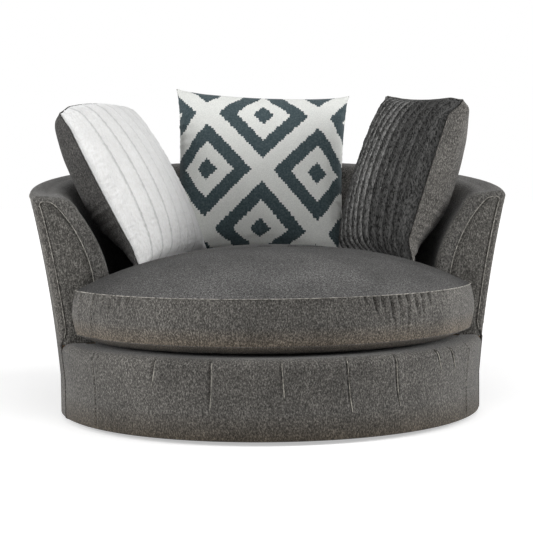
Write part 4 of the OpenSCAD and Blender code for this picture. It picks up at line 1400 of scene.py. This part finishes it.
@dataclass
class SeatCushion:
    """The loose cushion: a crowned top, a gathered boxing, a bottom, and the seams that join them.

    Each crease of the boxing has its angle from the middle of the front, and its length.
    """

    front_r: float = 0.618
    rear_r: float = 0.488
    ear_y: float = 0.170
    crown_y: float = 0.185
    ear_round: float = 0.034
    ear_bend: float = 0.05
    base_z: float = 0.2323
    low_seam: float = 0.2623
    high_seam: float = 0.3903
    crown: float = 0.120
    swell: float = 0.013
    reach: float = 0.007
    pressure: float = 3.0
    cloth_t: float = 0.0022
    tape_t: float = 0.0008
    fill: float = 0.85
    stitch: Flat = (0.0042, 0.0045)
    zip_half: float = 70.0
    zip_wide: float = 0.024
    tooth: Space = (0.0013, 0.0012, 0.0042)
    teeth: int = 420
    round_steps: int = 192
    body: str = "seat_cushion"
    creases: tuple[Flat, ...] = (
        (-70.5, 0.030), (-66.0, 0.100), (-58.5, 0.105), (-54.3, 0.035),
        (-51.0, 0.045), (-47.6, 0.025), (-44.5, 0.020), (18.2, 0.030),
        (20.9, 0.060), (23.4, 0.040), (25.8, 0.095), (28.6, 0.075),
        (31.2, 0.105), (34.0, 0.060), (36.6, 0.080), (39.2, 0.040),
    )

    def outline(self) -> list[Flat]:
        """The plan of the cushion's seams, evenly stepped, starting at the middle of the front."""
        corner, rear = (math.asin(self.ear_y / r) for r in (self.front_r, self.rear_r))
        half = arc(self.front_r, -math.pi / 2, -corner - self.ear_round / self.front_r, 60)
        start, tip = half[-1], (self.front_r * math.cos(corner), -self.ear_y)
        inner = (tip[0] - self.ear_round, -self.ear_y)
        half += [bezier(start, tip, inner, share) for share in shares(10, 1)]
        neck = (self.rear_r * math.cos(rear), -self.ear_y)
        back = arc(self.rear_r, self.ear_bend - rear, math.pi / 2, 49)
        half += [bezier((neck[0] + 0.02, neck[1]), neck, back[0], share) for share in shares(5)]
        half += back[1:]
        at = spread([*half, *((-x, y) for x, y in reversed(half[:-1])), half[0]])
        return [at(step / self.round_steps) for step in range(self.round_steps)]

    def rows(self) -> list[tuple[float, float, int]]:
        """The rows of the cover from the middle of the bottom to the crown: scale, height and panel."""
        rows = []
        for share in shares(10):
            scale = share**0.8
            lift = max(0.0, (scale - 0.9) / 0.1)
            rows.append((scale, between(self.base_z, self.low_seam, lift**1.7), 0))
        rows += [(1.0, between(self.low_seam, self.high_seam, share), 1) for share in shares(10, 1)]
        for share in shares(24, 1):
            scale = 1 - share**1.15
            rows.append((scale, self.high_seam + self.crown * (1 - scale**2.5), 2))
        return rows

    def drawn(self, x: float, y: float, z: float, scale: float = 1.0, out: float = 0.0) -> Vector:
        """A point of the plan drawn towards the middle of the crown by a scale, or moved some way out."""
        scale += out / math.hypot(x, y + self.crown_y)
        return Vector((x * scale, between(-self.crown_y, y, scale), z))

    def sewn(self) -> bpy.types.Object:
        """Sews the cover shut and blows it up, with its two seams held."""
        plan, rows = self.outline(), self.rows()
        last, near = len(rows) - 1, 1e-5

        def place(u: float, v: float) -> Vector:
            """The point at a share u round the outline and v up the rows."""
            x, y = plan[round(u * self.round_steps) % self.round_steps]
            scale, z, panel = rows[round(v * last)]
            if panel == 1 and z < self.high_seam - near:
                share = (z - self.low_seam) / (self.high_seam - self.low_seam)
                return self.drawn(x, y, z, out=self.swell * math.sin(math.pi * share) * smooth(-y / 0.2))
            return self.drawn(x, y, z, scale)

        cover = laid("seat_cushion_cover", self.round_steps, last, place)
        marked(cover, PANELS)
        points = [vertex.co for vertex in cover.data.vertices]
        for polygon in cover.data.polygons:
            corners = [points[number] for number in polygon.vertices]
            low, wide = min(at.z for at in corners), max(math.hypot(at.x, at.y) for at in corners)
            top = low >= self.high_seam - near
            boxing = not top and low >= self.low_seam - near and wide > 0.3
            polygon.material_index = 2 if top else 1 if boxing else 0
        seams = (self.low_seam, self.high_seam)
        held = [number for number, at in enumerate(points) if min(abs(at.z - seam) for seam in seams) < near]
        cover.vertex_groups.new(name="seams").add(held, 1.0, "REPLACE")
        with editing(cover):
            bpy.ops.mesh.remove_doubles(threshold=near)
            bpy.ops.mesh.normals_make_consistent(inside=False)
        inflate(cover, self.pressure, 18, self.reach, "seams")
        return cover

    def pucker(self, x: float, y: float, z: float, panel: int) -> float:
        """How far the stitches and gathers raise the cover.

        Args:
            x: Place across.
            y: Place along.
            z: Height.
            panel: 0 for the bottom, 1 for the boxing and 2 for the top.

        Returns:
            Metres outwards.
        """
        degrees, away = math.degrees(math.atan2(x, -y)), math.hypot(x, y) * math.radians(1.0)
        below, out = self.high_seam - z, 0.0
        if panel == 1:
            stitch = math.sin(degrees * away / self.stitch[0] + 2.2 * ripple(degrees * 0.3, 1.0, 0.0))
            out += 0.0005 * stitch * math.exp(-below / 0.012)
            for at, length in self.creases:
                lean = at + 0.9 * math.sin(at) * below / 0.1
                deep = math.exp(-((below / length) ** 3)) * smooth((below + 0.004) / 0.008)
                out += deep * raised_by(CREASE_RIDGES, abs(degrees - lean))
            out += 0.0016 * ripple(degrees * 0.16, z * 8.0, 7.0)
        elif panel == 2:
            edge = max(0.0, -below)
            stitch = math.sin(degrees * away / self.stitch[1])
            out += 0.0006 * stitch * math.exp(-edge / 0.010)
            out += 0.0022 * ripple(x * 5.0, y * 5.0, 2.0) * smooth(edge / 0.02)
        return out

    def build(self) -> None:
        """Builds and dresses the cushion."""
        cover = self.sewn()
        for panel, (word, part) in enumerate(zip(PANELS, parted(cover, PANELS))):
            part.name = part.data.name = f"cushion_{word}_cover"
            part.vertex_groups.clear()
            if panel:
                finish_with(part, "SUBSURF", levels=2, render_levels=2, boundary_smooth="PRESERVE_CORNERS")
            moved(part, lambda at, out, _: at + out * self.pucker(at.x, at.y, at.z, panel))
            cloth = SEAT_CLOTH if word == "top" else BOXING_CLOTH
            node = f"cushion_{word}"
            fitted(closed(part, self.cloth_t), self.body, cloth, [node], node, fill=self.fill)
        plan, seams = self.outline(), ((self.high_seam, 0.0012), (self.low_seam, 0.0006))
        runs = [[self.drawn(x, y, z, out=out) for x, y in plan] for z, out in seams]
        upper = thread("cushion_upper_seam", runs[:1], 0.0013, loop=True)
        fitted(upper, self.body, SEAM, ["cushion_welts"], "cushion_welts")
        lower = thread("cushion_lower_seam", runs[1:], 0.0008, loop=True)
        fitted(lower, self.body, BODY_CLOTH, slot="cushion_welts")
        self.zip()

    def zip(self) -> None:
        """Sews the zip round the rear of the boxing, tape and teeth."""
        r, middle = self.rear_r + 0.0006, (self.low_seam + self.high_seam) / 2
        half, wide = self.zip_half, self.zip_wide

        def place(u: float, v: float) -> Vector:
            """The point at a share u along the tape and v up it."""
            bead = 0.0008 * bell((v - 0.5) * wide, 0.0016)
            out = r + 0.0016 + 0.0004 * math.sin(math.pi * v) - bead
            return polar(out, math.radians(between(90 - half, 90 + half, u)), middle + (v - 0.5) * wide)

        tape = laid("zip_tape_cloth", 160, 12, place)
        fitted(closed(tape, self.tape_t), self.body, DUST_CLOTH, ["zip_tape"], "zip_tape")
        bpy.ops.object.select_all(action="DESELECT")
        bpy.ops.mesh.primitive_cube_add(size=1, location=(0, 0, 0))
        tooth = bpy.context.object
        tooth.scale = self.tooth
        bpy.ops.object.transform_apply(location=False, rotation=False, scale=True)
        table, reach = bmesh.new(), half - 1.2
        for k in range(self.teeth):
            turn = math.radians(between(90 - reach, 90 + reach, (k + 0.5) / self.teeth))
            at = Matrix.Rotation(turn, 4, "Z") @ Matrix.Translation((r + 0.0018, 0.0, middle))
            start = len(table.verts)
            table.from_mesh(tooth.data)
            table.verts.ensure_lookup_table()
            for vertex in table.verts[start:]:
                vertex.co = at @ vertex.co
        row = bpy.data.meshes.new("zip_teeth")
        table.to_mesh(row)
        table.free()
        bpy.data.objects.remove(tooth)
        fitted(linked("zip_teeth", row), self.body, ZINC, slot="zip_tape")


class Face(Enum):
    """What the front of a pillow is made of."""

    CHANNELS = "channels"
    LATTICE = "lattice"
    RIBS = "ribs"


@dataclass
class Pillow:
    """A loose square pillow: two faces sewn round their edge, blown up and set in its place.

    Its place is the angle at which it stands, how far it stands inside the inner wall, and its rise
    over the cushion's upper seam. Turn, lean and roll are in degrees. near tells which side is turned
    to the front, 1 for the right and -1 for the left. draw, sides and crown are how far its edges
    draw in, as a share of half its size, and behind is how far its back is stuffed out.
    """

    word: str
    face: Face
    cloth: Finish
    size: float
    inset: float
    at: float
    rise: float
    turn: float
    lean: float
    roll: float
    back: Finish = BODY_CLOTH
    form: ShellForm = field(default_factory=ShellForm)
    thick: float = 0.180
    cover_t: float = 0.0045
    draw: float = 0.06
    near: float = 0.0
    sides: float = 0.06
    crown: float = 0.06
    behind: float = 0.090
    behind_power: float = 0.45
    shift: float = 0.0
    corner: float = 0.0
    power: float = 0.45
    ribs: int = 0
    relief: float = 0.0
    reach: float = 0.016
    pressure: float = 4.0
    seam_z: float = 0.3903
    sheet_t: float = 0.0025
    fill: float = 0.7
    grid: int = 56

    @property
    def body(self) -> str:
        """The body that the pillow rides on."""
        return f"{self.word}_pillow"

    def puff(self, u: float, v: float) -> float:
        """Half the pillow's thickness at a place from -1 to 1 each way."""
        return self.thick / 2 * max(0.0, (1 - u * u) * (1 - v * v)) ** self.power

    def spot(self, u: float, v: float) -> Flat:
        """Where a place from -1 to 1 each way lies on the finished pillow."""
        half = self.size / 2
        side, top = (self.sides if u * self.near > 0 else self.draw), (self.crown if v > 0 else self.draw)
        ear = self.corner * smooth((u * self.near - 0.6) / 0.4) * smooth((v - 0.6) / 0.4)
        x = half * u * (1 - side * (1 - v * v)) - 0.5 * self.near * ear
        return x, half * v * (1 - top * (1 - u * u)) - ear

    def seam_at(self, u: float, v: float) -> float:
        """How far forward the pillow's cloth is drawn near its seam on the side turned to the front."""
        return -self.shift * smooth((u * self.near - 0.66) / 0.34) * smooth((1 - abs(v)) / 0.3)

    def placed(self) -> Matrix:
        """Where the pillow stands, as the frame has it."""
        angle, z = math.radians(self.at), self.seam_z + self.rise
        r = self.form.inner_at(z, self.form.rim_at(angle)) - self.inset
        place = Matrix.Translation(polar(r, angle, z))
        place @= Matrix.Rotation(math.radians(self.turn), 4, "Z")
        place @= Matrix.Rotation(math.radians(-self.lean), 4, "X")
        return place @ Matrix.Rotation(math.radians(self.roll), 4, "Y")

    def sewn(self) -> bpy.types.Object:
        """Sews two square faces together and blows them up."""
        half = self.size / 2
        start = 1.0 + 2 * self.cover_t / self.thick

        def place(u: float, v: float) -> Vector:
            """The point at shares u and v of the front face, before it is blown up."""
            a, b = 2 * u - 1, 2 * v - 1
            x, z = half * a * (1 - self.draw * (1 - b * b)), half * b * (1 - self.draw * (1 - a * a))
            return Vector((x, -start * self.puff(a, b), z))

        cover = laid(f"{self.word}_pillow_cover", self.grid, self.grid, place)
        marked(cover, ("front", "back"))
        with editing(cover):
            bpy.ops.mesh.duplicate()
            bpy.ops.transform.resize(value=(1, -1, 1), center_override=(0, 0, 0))
            cover.active_material_index = 1
            bpy.ops.object.material_slot_assign()
            bpy.ops.mesh.select_all(action="SELECT")
            bpy.ops.mesh.remove_doubles(threshold=1e-5)
            bpy.ops.mesh.normals_make_consistent(inside=False)
        inflate(cover, self.pressure, 12, self.reach)
        return cover

    def settled(self, cover: bpy.types.Object) -> None:
        """Brings the blown-up cover back to the pillow's own thickness and spread.

        Args:
            cover: The cover.
        """
        points = [vertex.co for vertex in cover.data.vertices]
        front, back = 1, 2
        sides = [0] * len(points)
        for polygon in cover.data.polygons:
            for number in polygon.vertices:
                sides[number] |= 1 << polygon.material_index
        middle = sum(points, Vector()) / len(points)
        for point in points:
            point -= middle
        deep = max(abs(p.y) for p in points)
        wide, high = max(abs(p.x) for p in points), max(abs(p.z) for p in points)
        for point, side in zip(points, sides):
            point.x *= self.size / 2 / wide
            point.z *= self.size / 2 / high
            u, v = self.place_on_plain(point)
            point.x, point.z = self.spot(u, v)
            if side == front | back:
                point.y = self.seam_at(u, v)
                continue
            full = self.puff(u, v) + self.cover_t * smooth(8 * (1 - max(abs(u), abs(v))))
            blown = abs(point.y) * (self.thick / 2 + self.cover_t) / deep
            out = full + 0.5 * max(0.0, blown - full)
            if side == back:
                fuller = self.behind * max(0.0, (1 - u * u) * (1 - v * v)) ** self.behind_power
                out += smooth((v + 0.8) / 0.6) * max(0.0, fuller - self.puff(u, v))
            point.y = out * (-1 if side == front else 1) + self.seam_at(u, v)

    def place_on_plain(self, point: Vector) -> Flat:
        """Where a point of the pillow as sewn lies on its face, from -1 to 1 each way."""
        half, u, v = self.size / 2, 0.0, 0.0
        for _ in range(4):
            u = point.x / (half * (1 - self.draw * (1 - v * v)))
            v = point.z / (half * (1 - self.draw * (1 - u * u)))
            u, v = clamped(u), clamped(v)
        return u, v

    def place_on_face(self, point: Vector) -> Flat:
        """Where a point of the finished pillow lies on its face, from -1 to 1 each way."""
        half, u, v = self.size / 2, point.x / self.size * 2, point.z / self.size * 2
        for _ in range(6):
            x, z = self.spot(u, v)
            u, v = u + (point.x - x) / half, v + (point.z - z) / half
            u, v = clamped(u), clamped(v)
        return u, v

    def raised(self, u: float, v: float, front: bool) -> Flat:
        """Relief of a face, and how much painted shade a point takes: in the grooves, and across the ribbed
        face's right side.

        Args:
            u: Place across, from -1 to 1.
            v: Place up, from -1 to 1.
            front: Whether it is the front face.

        Returns:
            Metres outwards, and a share from 0 in full painted shade to 1 unshaded.
        """
        edge = smooth((1 - abs(v)) / 0.10) * smooth((1 - abs(u)) / 0.05)
        if front and self.face is Face.RIBS:
            wave = abs(math.sin(math.pi * self.ribs * (u + 1) + 0.25 * ripple(u * 3, v * 2.5, 1.0)))
            # Painted shade: the factor named nap darkens the ribs across the pillow's right side, where less
            # light falls, and the grooves are shaded as well.
            nap = 1 - 0.86 * smooth((u + 0.2) / 0.45)
            tufts = 0.0012 * (ripple(u * 46, v * 46, 2.0) + 1)
            return self.relief * wave**0.75 * between(0.35, 1.0, edge) + tufts, nap * smooth(wave * 1.15)
        if front and self.face is Face.CHANNELS:
            wave = abs(math.sin(math.pi * self.ribs * (u + 1)))
            soft = 1 - 0.6 * smooth((u + 0.35) / 0.4)
            tufts = 0.0019 * (ripple(u * 26, v * 26, 6.0) + 0.6 * ripple(u * 70, v * 70, 8.0) + 1.6)
            rise = self.relief * between(1, wave**0.35, soft) * edge
            # The second value is painted shade in the channels' grooves, weaker towards the right.
            return rise + tufts, between(1, smooth(wave * 3.0), soft)
        out = 0.0008 * ripple(u * 5, v * 5, 3.0)
        near = 1 - abs(u)
        deep, wide = (0.004, 0.16) if front else (0.010 * smooth((0.25 - v) / 0.6), 0.22)
        fold = ripple(v * 17 + 0.6 * u, 2.0 if u > 0 else 7.0, 0.0)
        out += deep * fold * bell(near, wide) * smooth(near / 0.03)
        return out, 1.0

    def dressed_point(self, at: Vector, out: Vector, number: int, front: bool, light_shares: list[float]) -> Vector:
        """A point of a face with its relief, kept on its own side of the seam.

        Args:
            at: The point on the plain face.
            out: Its normal.
            number: Its number.
            front: Whether it is on the front face.
            light_shares: Takes the point's share from 0 in full painted shade to 1 unshaded.

        Returns:
            The new point.
        """
        u, v = self.place_on_face(at)
        rise, light_shares[number] = self.raised(u, v, front)
        point = at + out * rise
        side, seam = (-1 if front else 1), self.seam_at(u, v)
        point.y = seam + side * max(side * (point.y - seam), 0.0004)
        return point

    def build(self) -> None:
        """Builds and dresses the pillow."""
        cover, words, place = self.sewn(), ("back", "front"), self.placed()
        self.settled(cover)
        for word, part in zip(words, parted(cover, words)):
            front = word == "front"
            part.name = part.data.name = f"{self.word}_pillow_{word}"
            levels = 2 if front and self.face is not Face.LATTICE else 1
            finish_with(part, "SUBSURF", levels=levels, render_levels=levels, boundary_smooth="ALL")
            # The rib attribute carries each point's painted shade to the pile's colour.
            part.data.attributes.new("rib", "FLOAT", "POINT")
            light_shares = [1.0] * len(part.data.vertices)
            moved(part, lambda at, out, k: self.dressed_point(at, out, k, front, light_shares))
            part.data.attributes["rib"].data.foreach_set("value", light_shares)
            part.data.transform(place)
            part.data.update()
            node = f"{self.word}_{word}"
            cloth = self.cloth if front else self.back
            fitted(closed(part, self.sheet_t), self.body, cloth, [node], node, fill=self.fill)


@dataclass
class Stuffing:
    """The foam and wadding inside the covers, softened from the frame's own solids."""

    foams: tuple[str, ...] = ("back_foam", "arm_pads", "cushion_core")
    pads: tuple[str, ...] = ("deck_pad", "front_pad", "cushion_topper")
    pillow_fills: tuple[str, ...] = ("left_fill", "middle_fill", "right_fill")
    fill_slack: float = 0.007
    foam_slack: float = 0.006
    other_slack: float = 0.0004
    band_room: float = 0.004
    arm_draw: Space = (0.022, 0.024, 0.014)

    def slack(self, name: str) -> float:
        """How far a piece lies inside its solid."""
        if name in self.pillow_fills:
            return self.fill_slack
        return self.foam_slack if name in ("back_foam", "cushion_core") else self.other_slack

    def under_cover(self, at: Vector) -> Vector:
        """A point of the front's padding, drawn in under the cover's rounded edge where it would show."""
        band, form = FrontBand(), ShellForm()
        high = form.deck_z - band.round_r
        middle = form.outer_at(high, form.arm_h) - band.round_r
        r = math.hypot(at.x, at.y)
        room, away = band.round_r - form.cloth - self.band_room, Vector((r - middle, at.z - high))
        if away.x > 0 and away.y > 0 and away.length > room:
            away = away.normalized() * room
            share = (middle + away.x) / r
            return Vector((at.x * share, at.y * share, high + away.y))
        return at

    def under_arm(self, at: Vector) -> Vector:
        """A point of the arm's padding, drawn in behind the arm's rounded front edges where it would show."""
        form, shell, (down, out, inwards) = ShellForm(), Shell(), self.arm_draw
        share = 1 - (at.y + form.front) / shell.inner_roll
        if share <= 0 or at.z < form.deck_z + 0.01:
            return at
        share = between(0.35, 1.0, share)
        r, z = math.hypot(at.x, at.y), min(at.z, form.arm_h - form.cloth - down * share)
        wall = form.inner_at(z, form.arm_h) + form.cloth + out * share
        r = min(max(r, wall), form.outer_at(z, form.arm_h) - form.cloth - inwards * share)
        return Vector((math.copysign(math.sqrt(r * r - at.y * at.y), at.x), at.y + 0.002, z))

    def build(self) -> None:
        """Builds and dresses each piece of foam and wadding."""
        for names, cloth in ((self.foams, FOAM), (self.pads + self.pillow_fills, WADDING)):
            for name in names:
                source, slack = frame["nodes"][name], self.slack(name)
                piece = closed(linked(f"{name}_soft", source.data.copy()), gap=1e-6)
                moved(piece, lambda at, out, _: at - out * slack)
                if name in ("front_pad", "deck_pad"):
                    moved(piece, lambda at, out, _: self.under_cover(at))
                if name in ("arm_pads", "back_foam"):
                    moved(piece, lambda at, out, _: self.under_arm(at))
                fitted(piece, source["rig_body"], cloth, [name], name, fill=1.0)


@dataclass
class DustCloth:
    """The black cloth under the chair, stapled round the bottom ring."""

    inner: float = 0.392
    outer: float = 0.6285
    sag: float = 0.0016
    cloth_t: float = 0.0006
    body: str = "chair_body"

    def build(self) -> None:
        """Lays the cloth with a slight sag between its edges."""
        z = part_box("dust_cover")[0].z + 0.0005

        def place(u: float, v: float) -> Vector:
            """The point at a share u of the way round and v of the way out."""
            turn = 2 * math.pi * u
            wave = 1 + 0.6 * ripple(math.cos(turn) * 5, math.sin(turn) * 5, v)
            low = z - self.sag * math.sin(math.pi * v) * wave
            return polar(between(self.inner, self.outer, v), turn, low)

        cloth = laid("dust_cloth", 144, 10, place, lambda _: Vector((0, 0, -1)))
        fitted(closed(cloth, self.cloth_t), self.body, DUST_CLOTH, ["dust_cover"], "dust_cover")


NODE_FINISHES: dict[Finish, tuple[str, ...]] = {
    NYLON: ("pivot_bush",),
    BLACK_PLASTIC: ("glides",),
    BIRCH: ("plinth", "swivel_board", "bottom_ring", "deck_ring"),
    HARDWOOD: ("cross_rails", "front_posts", "top_rail", "lumbar_rail"),
    THIN_BOARD: ("front_board", "outer_board"),
    STEEL: ("bearing_lower", "bearing_upper", "pivot_bolt", "spring_clips"),
    ZINC: ("lower_screws", "upper_screws", "pivot_nut", "zip_slider"),
    BRASS: ("ball_cage",),
    CHROME: ("bearing_balls",),
    SPRING_STEEL: ("seat_springs",),
}


def dress_frame() -> None:
    """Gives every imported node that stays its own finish."""
    plain = dict(frame["nodes"])
    for finish, names in NODE_FINISHES.items():
        for name in names:
            coated(plain.pop(name), finish)
    for name, node in plain.items():
        coated(node, BIRCH if name.startswith(("rib_", "arm_board")) else BODY_CLOTH)
    LOG.info("%d nodes dressed", len(frame["nodes"]))


@dataclass(frozen=True)
class Lamp:
    """A soft studio lamp."""

    name: str
    at: Space
    size: float
    watts: float


@dataclass
class Studio:
    """The plain white floor, the lamps and the camera."""

    lamps: tuple[Lamp, ...] = (
        Lamp("lamp_left", (-3.8, -1.4, 1.8), 2.2, 108.0),
        Lamp("lamp_right", (3.9, -1.25, 1.8), 2.2, 122.0),
        Lamp("lamp_front", (0.3, -3.6, 3.2), 2.6, 5.0),
        Lamp("lamp_top", (0.0, -0.9, 3.7), 3.0, 36.0),
    )
    camera_at: Space = (-0.4806, -4.3535, 0.714)
    heading: float = 6.3
    pitch: float = 3.6
    roll: float = 0.6
    lens: float = 96.18
    image: int = 533
    shift: float = 2.0
    sky: float = 0.21
    glow: Flat = (0.46, 1.0)
    glow_reach: Flat = (1.2, 4.0)
    aim: Space = (0.0, 0.0, 0.4)

    def floor(self) -> None:
        """Lays the floor, white to the camera and plain to every other ray, with its shadow kept."""
        bpy.ops.object.select_all(action="DESELECT")
        bpy.ops.mesh.primitive_plane_add(size=60, location=(0, 0, -0.0005))
        floor = bpy.context.object
        floor.name = "studio_floor"
        paint = bpy.data.materials.new("studio_white")
        paint.use_nodes = True
        paint.node_tree.nodes.clear()
        desk = Desk(paint.node_tree)
        matt = desk.add("BsdfDiffuse", {"Color": (0.82, 0.82, 0.82, 1.0)})
        place = desk.add("TexCoord").outputs["Object"]
        away = desk.add("VectorMath", {0: place}, operation="LENGTH").outputs["Value"]
        lit = desk.math("MULTIPLY", self.seen(desk), desk.span(away, *self.glow_reach, *self.glow))
        glow = desk.add("Emission", {"Color": (1.0, 1.0, 1.0, 1.0), "Strength": lit})
        both = desk.add("AddShader", {0: matt.outputs[0], 1: glow.outputs[0]})
        desk.add("OutputMaterial", {0: both.outputs[0]})
        floor.data.materials.append(paint)
        floor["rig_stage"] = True

    def seen(self, desk: Desk) -> bpy.types.NodeSocket:
        """One for the rays that show a backdrop, and none for the rest."""
        path = desk.add("LightPath")
        rays = desk.math("MAXIMUM", path.outputs["Is Camera Ray"], path.outputs["Is Glossy Ray"])
        return desk.math("MAXIMUM", rays, path.outputs["Is Transmission Ray"])

    def light(self) -> None:
        """Hangs the lamps and lights the backdrop."""
        for lamp in self.lamps:
            data = bpy.data.lights.new(lamp.name, "AREA")
            data.shape, data.size, data.energy = "DISK", lamp.size, lamp.watts
            hung = linked(lamp.name, data)
            hung.location = lamp.at
            hung.rotation_euler = (Vector(self.aim) - Vector(lamp.at)).to_track_quat("-Z", "Y").to_euler()
        world = bpy.data.worlds.new("studio")
        bpy.context.scene.world = world
        world.use_nodes = True
        world.node_tree.nodes.clear()
        desk = Desk(world.node_tree)
        strength = desk.math("MAXIMUM", self.seen(desk), self.sky)
        back = desk.add("Background", {"Color": (1.0, 1.0, 1.0, 1.0), "Strength": strength})
        desk.add("OutputWorld", {0: back.outputs[0]})

    def camera(self) -> None:
        """Sets the camera where the photograph was taken from."""
        heading, pitch = math.radians(self.heading), math.radians(self.pitch)
        level = math.cos(pitch)
        ahead = Vector((math.sin(heading) * level, math.cos(heading) * level, -math.sin(pitch)))
        data = bpy.data.cameras.new("camera")
        data.sensor_width = 36.0
        data.lens = self.lens
        data.shift_x = -self.shift / self.image
        camera = linked("camera", data)
        camera.rotation_mode = "QUATERNION"
        rolled = Quaternion(ahead, math.radians(self.roll))
        camera.rotation_quaternion = rolled @ ahead.to_track_quat("-Z", "Y")
        camera.location = self.camera_at
        bpy.context.scene.camera = camera

    def build(self) -> None:
        """Builds the studio."""
        self.floor()
        self.light()
        self.camera()
        bpy.context.scene.view_settings.view_transform = "Standard"


PILLOWS = (
    Pillow(
        "left",
        Face.CHANNELS,
        WHITE_PILE,
        size=0.540,
        inset=0.1775,
        at=157.5,
        rise=0.303,
        turn=63.0,
        lean=28.0,
        roll=-3.0,
        # The back wears the darker copy of the chenille: painted shade.
        back=SHADED_BACK_CLOTH,
        ribs=4,
        relief=0.0056,
        near=-1.0,
        sides=-0.04,
        crown=-0.08,
        behind=0.112,
        behind_power=0.30,
        shift=0.010,
        corner=0.010,
    ),
    Pillow(
        "middle",
        Face.LATTICE,
        PRINT,
        size=0.600,
        inset=0.128,
        at=86.5,
        rise=0.329,
        turn=-3.0,
        lean=17.0,
        roll=3.0,
    ),
    Pillow(
        "right",
        Face.RIBS,
        DARK_PILE,
        size=0.540,
        inset=0.1915,
        at=13.0,
        rise=0.321,
        turn=-74.0,
        lean=18.5,
        roll=3.0,
        ribs=6,
        relief=0.0135,
        near=1.0,
        sides=0.03,
        behind=0.120,
        behind_power=0.28,
        shift=0.034,
        corner=0.014,
    ),
)


def main() -> None:
    """Builds the chair's looks in order, and works out its two boxes."""
    logging.basicConfig(level=logging.INFO, format="%(message)s")
    Studio().build()
    dress_frame()
    Shell().build()
    FrontBand().build()
    SeatCushion().build()
    for pillow in PILLOWS:
        pillow.build()
    Stuffing().build()
    DustCloth().build()
    [[list(corner) for corner in box] for box in (CAD_BOX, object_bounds())]


if __name__ == "__main__":
    main()
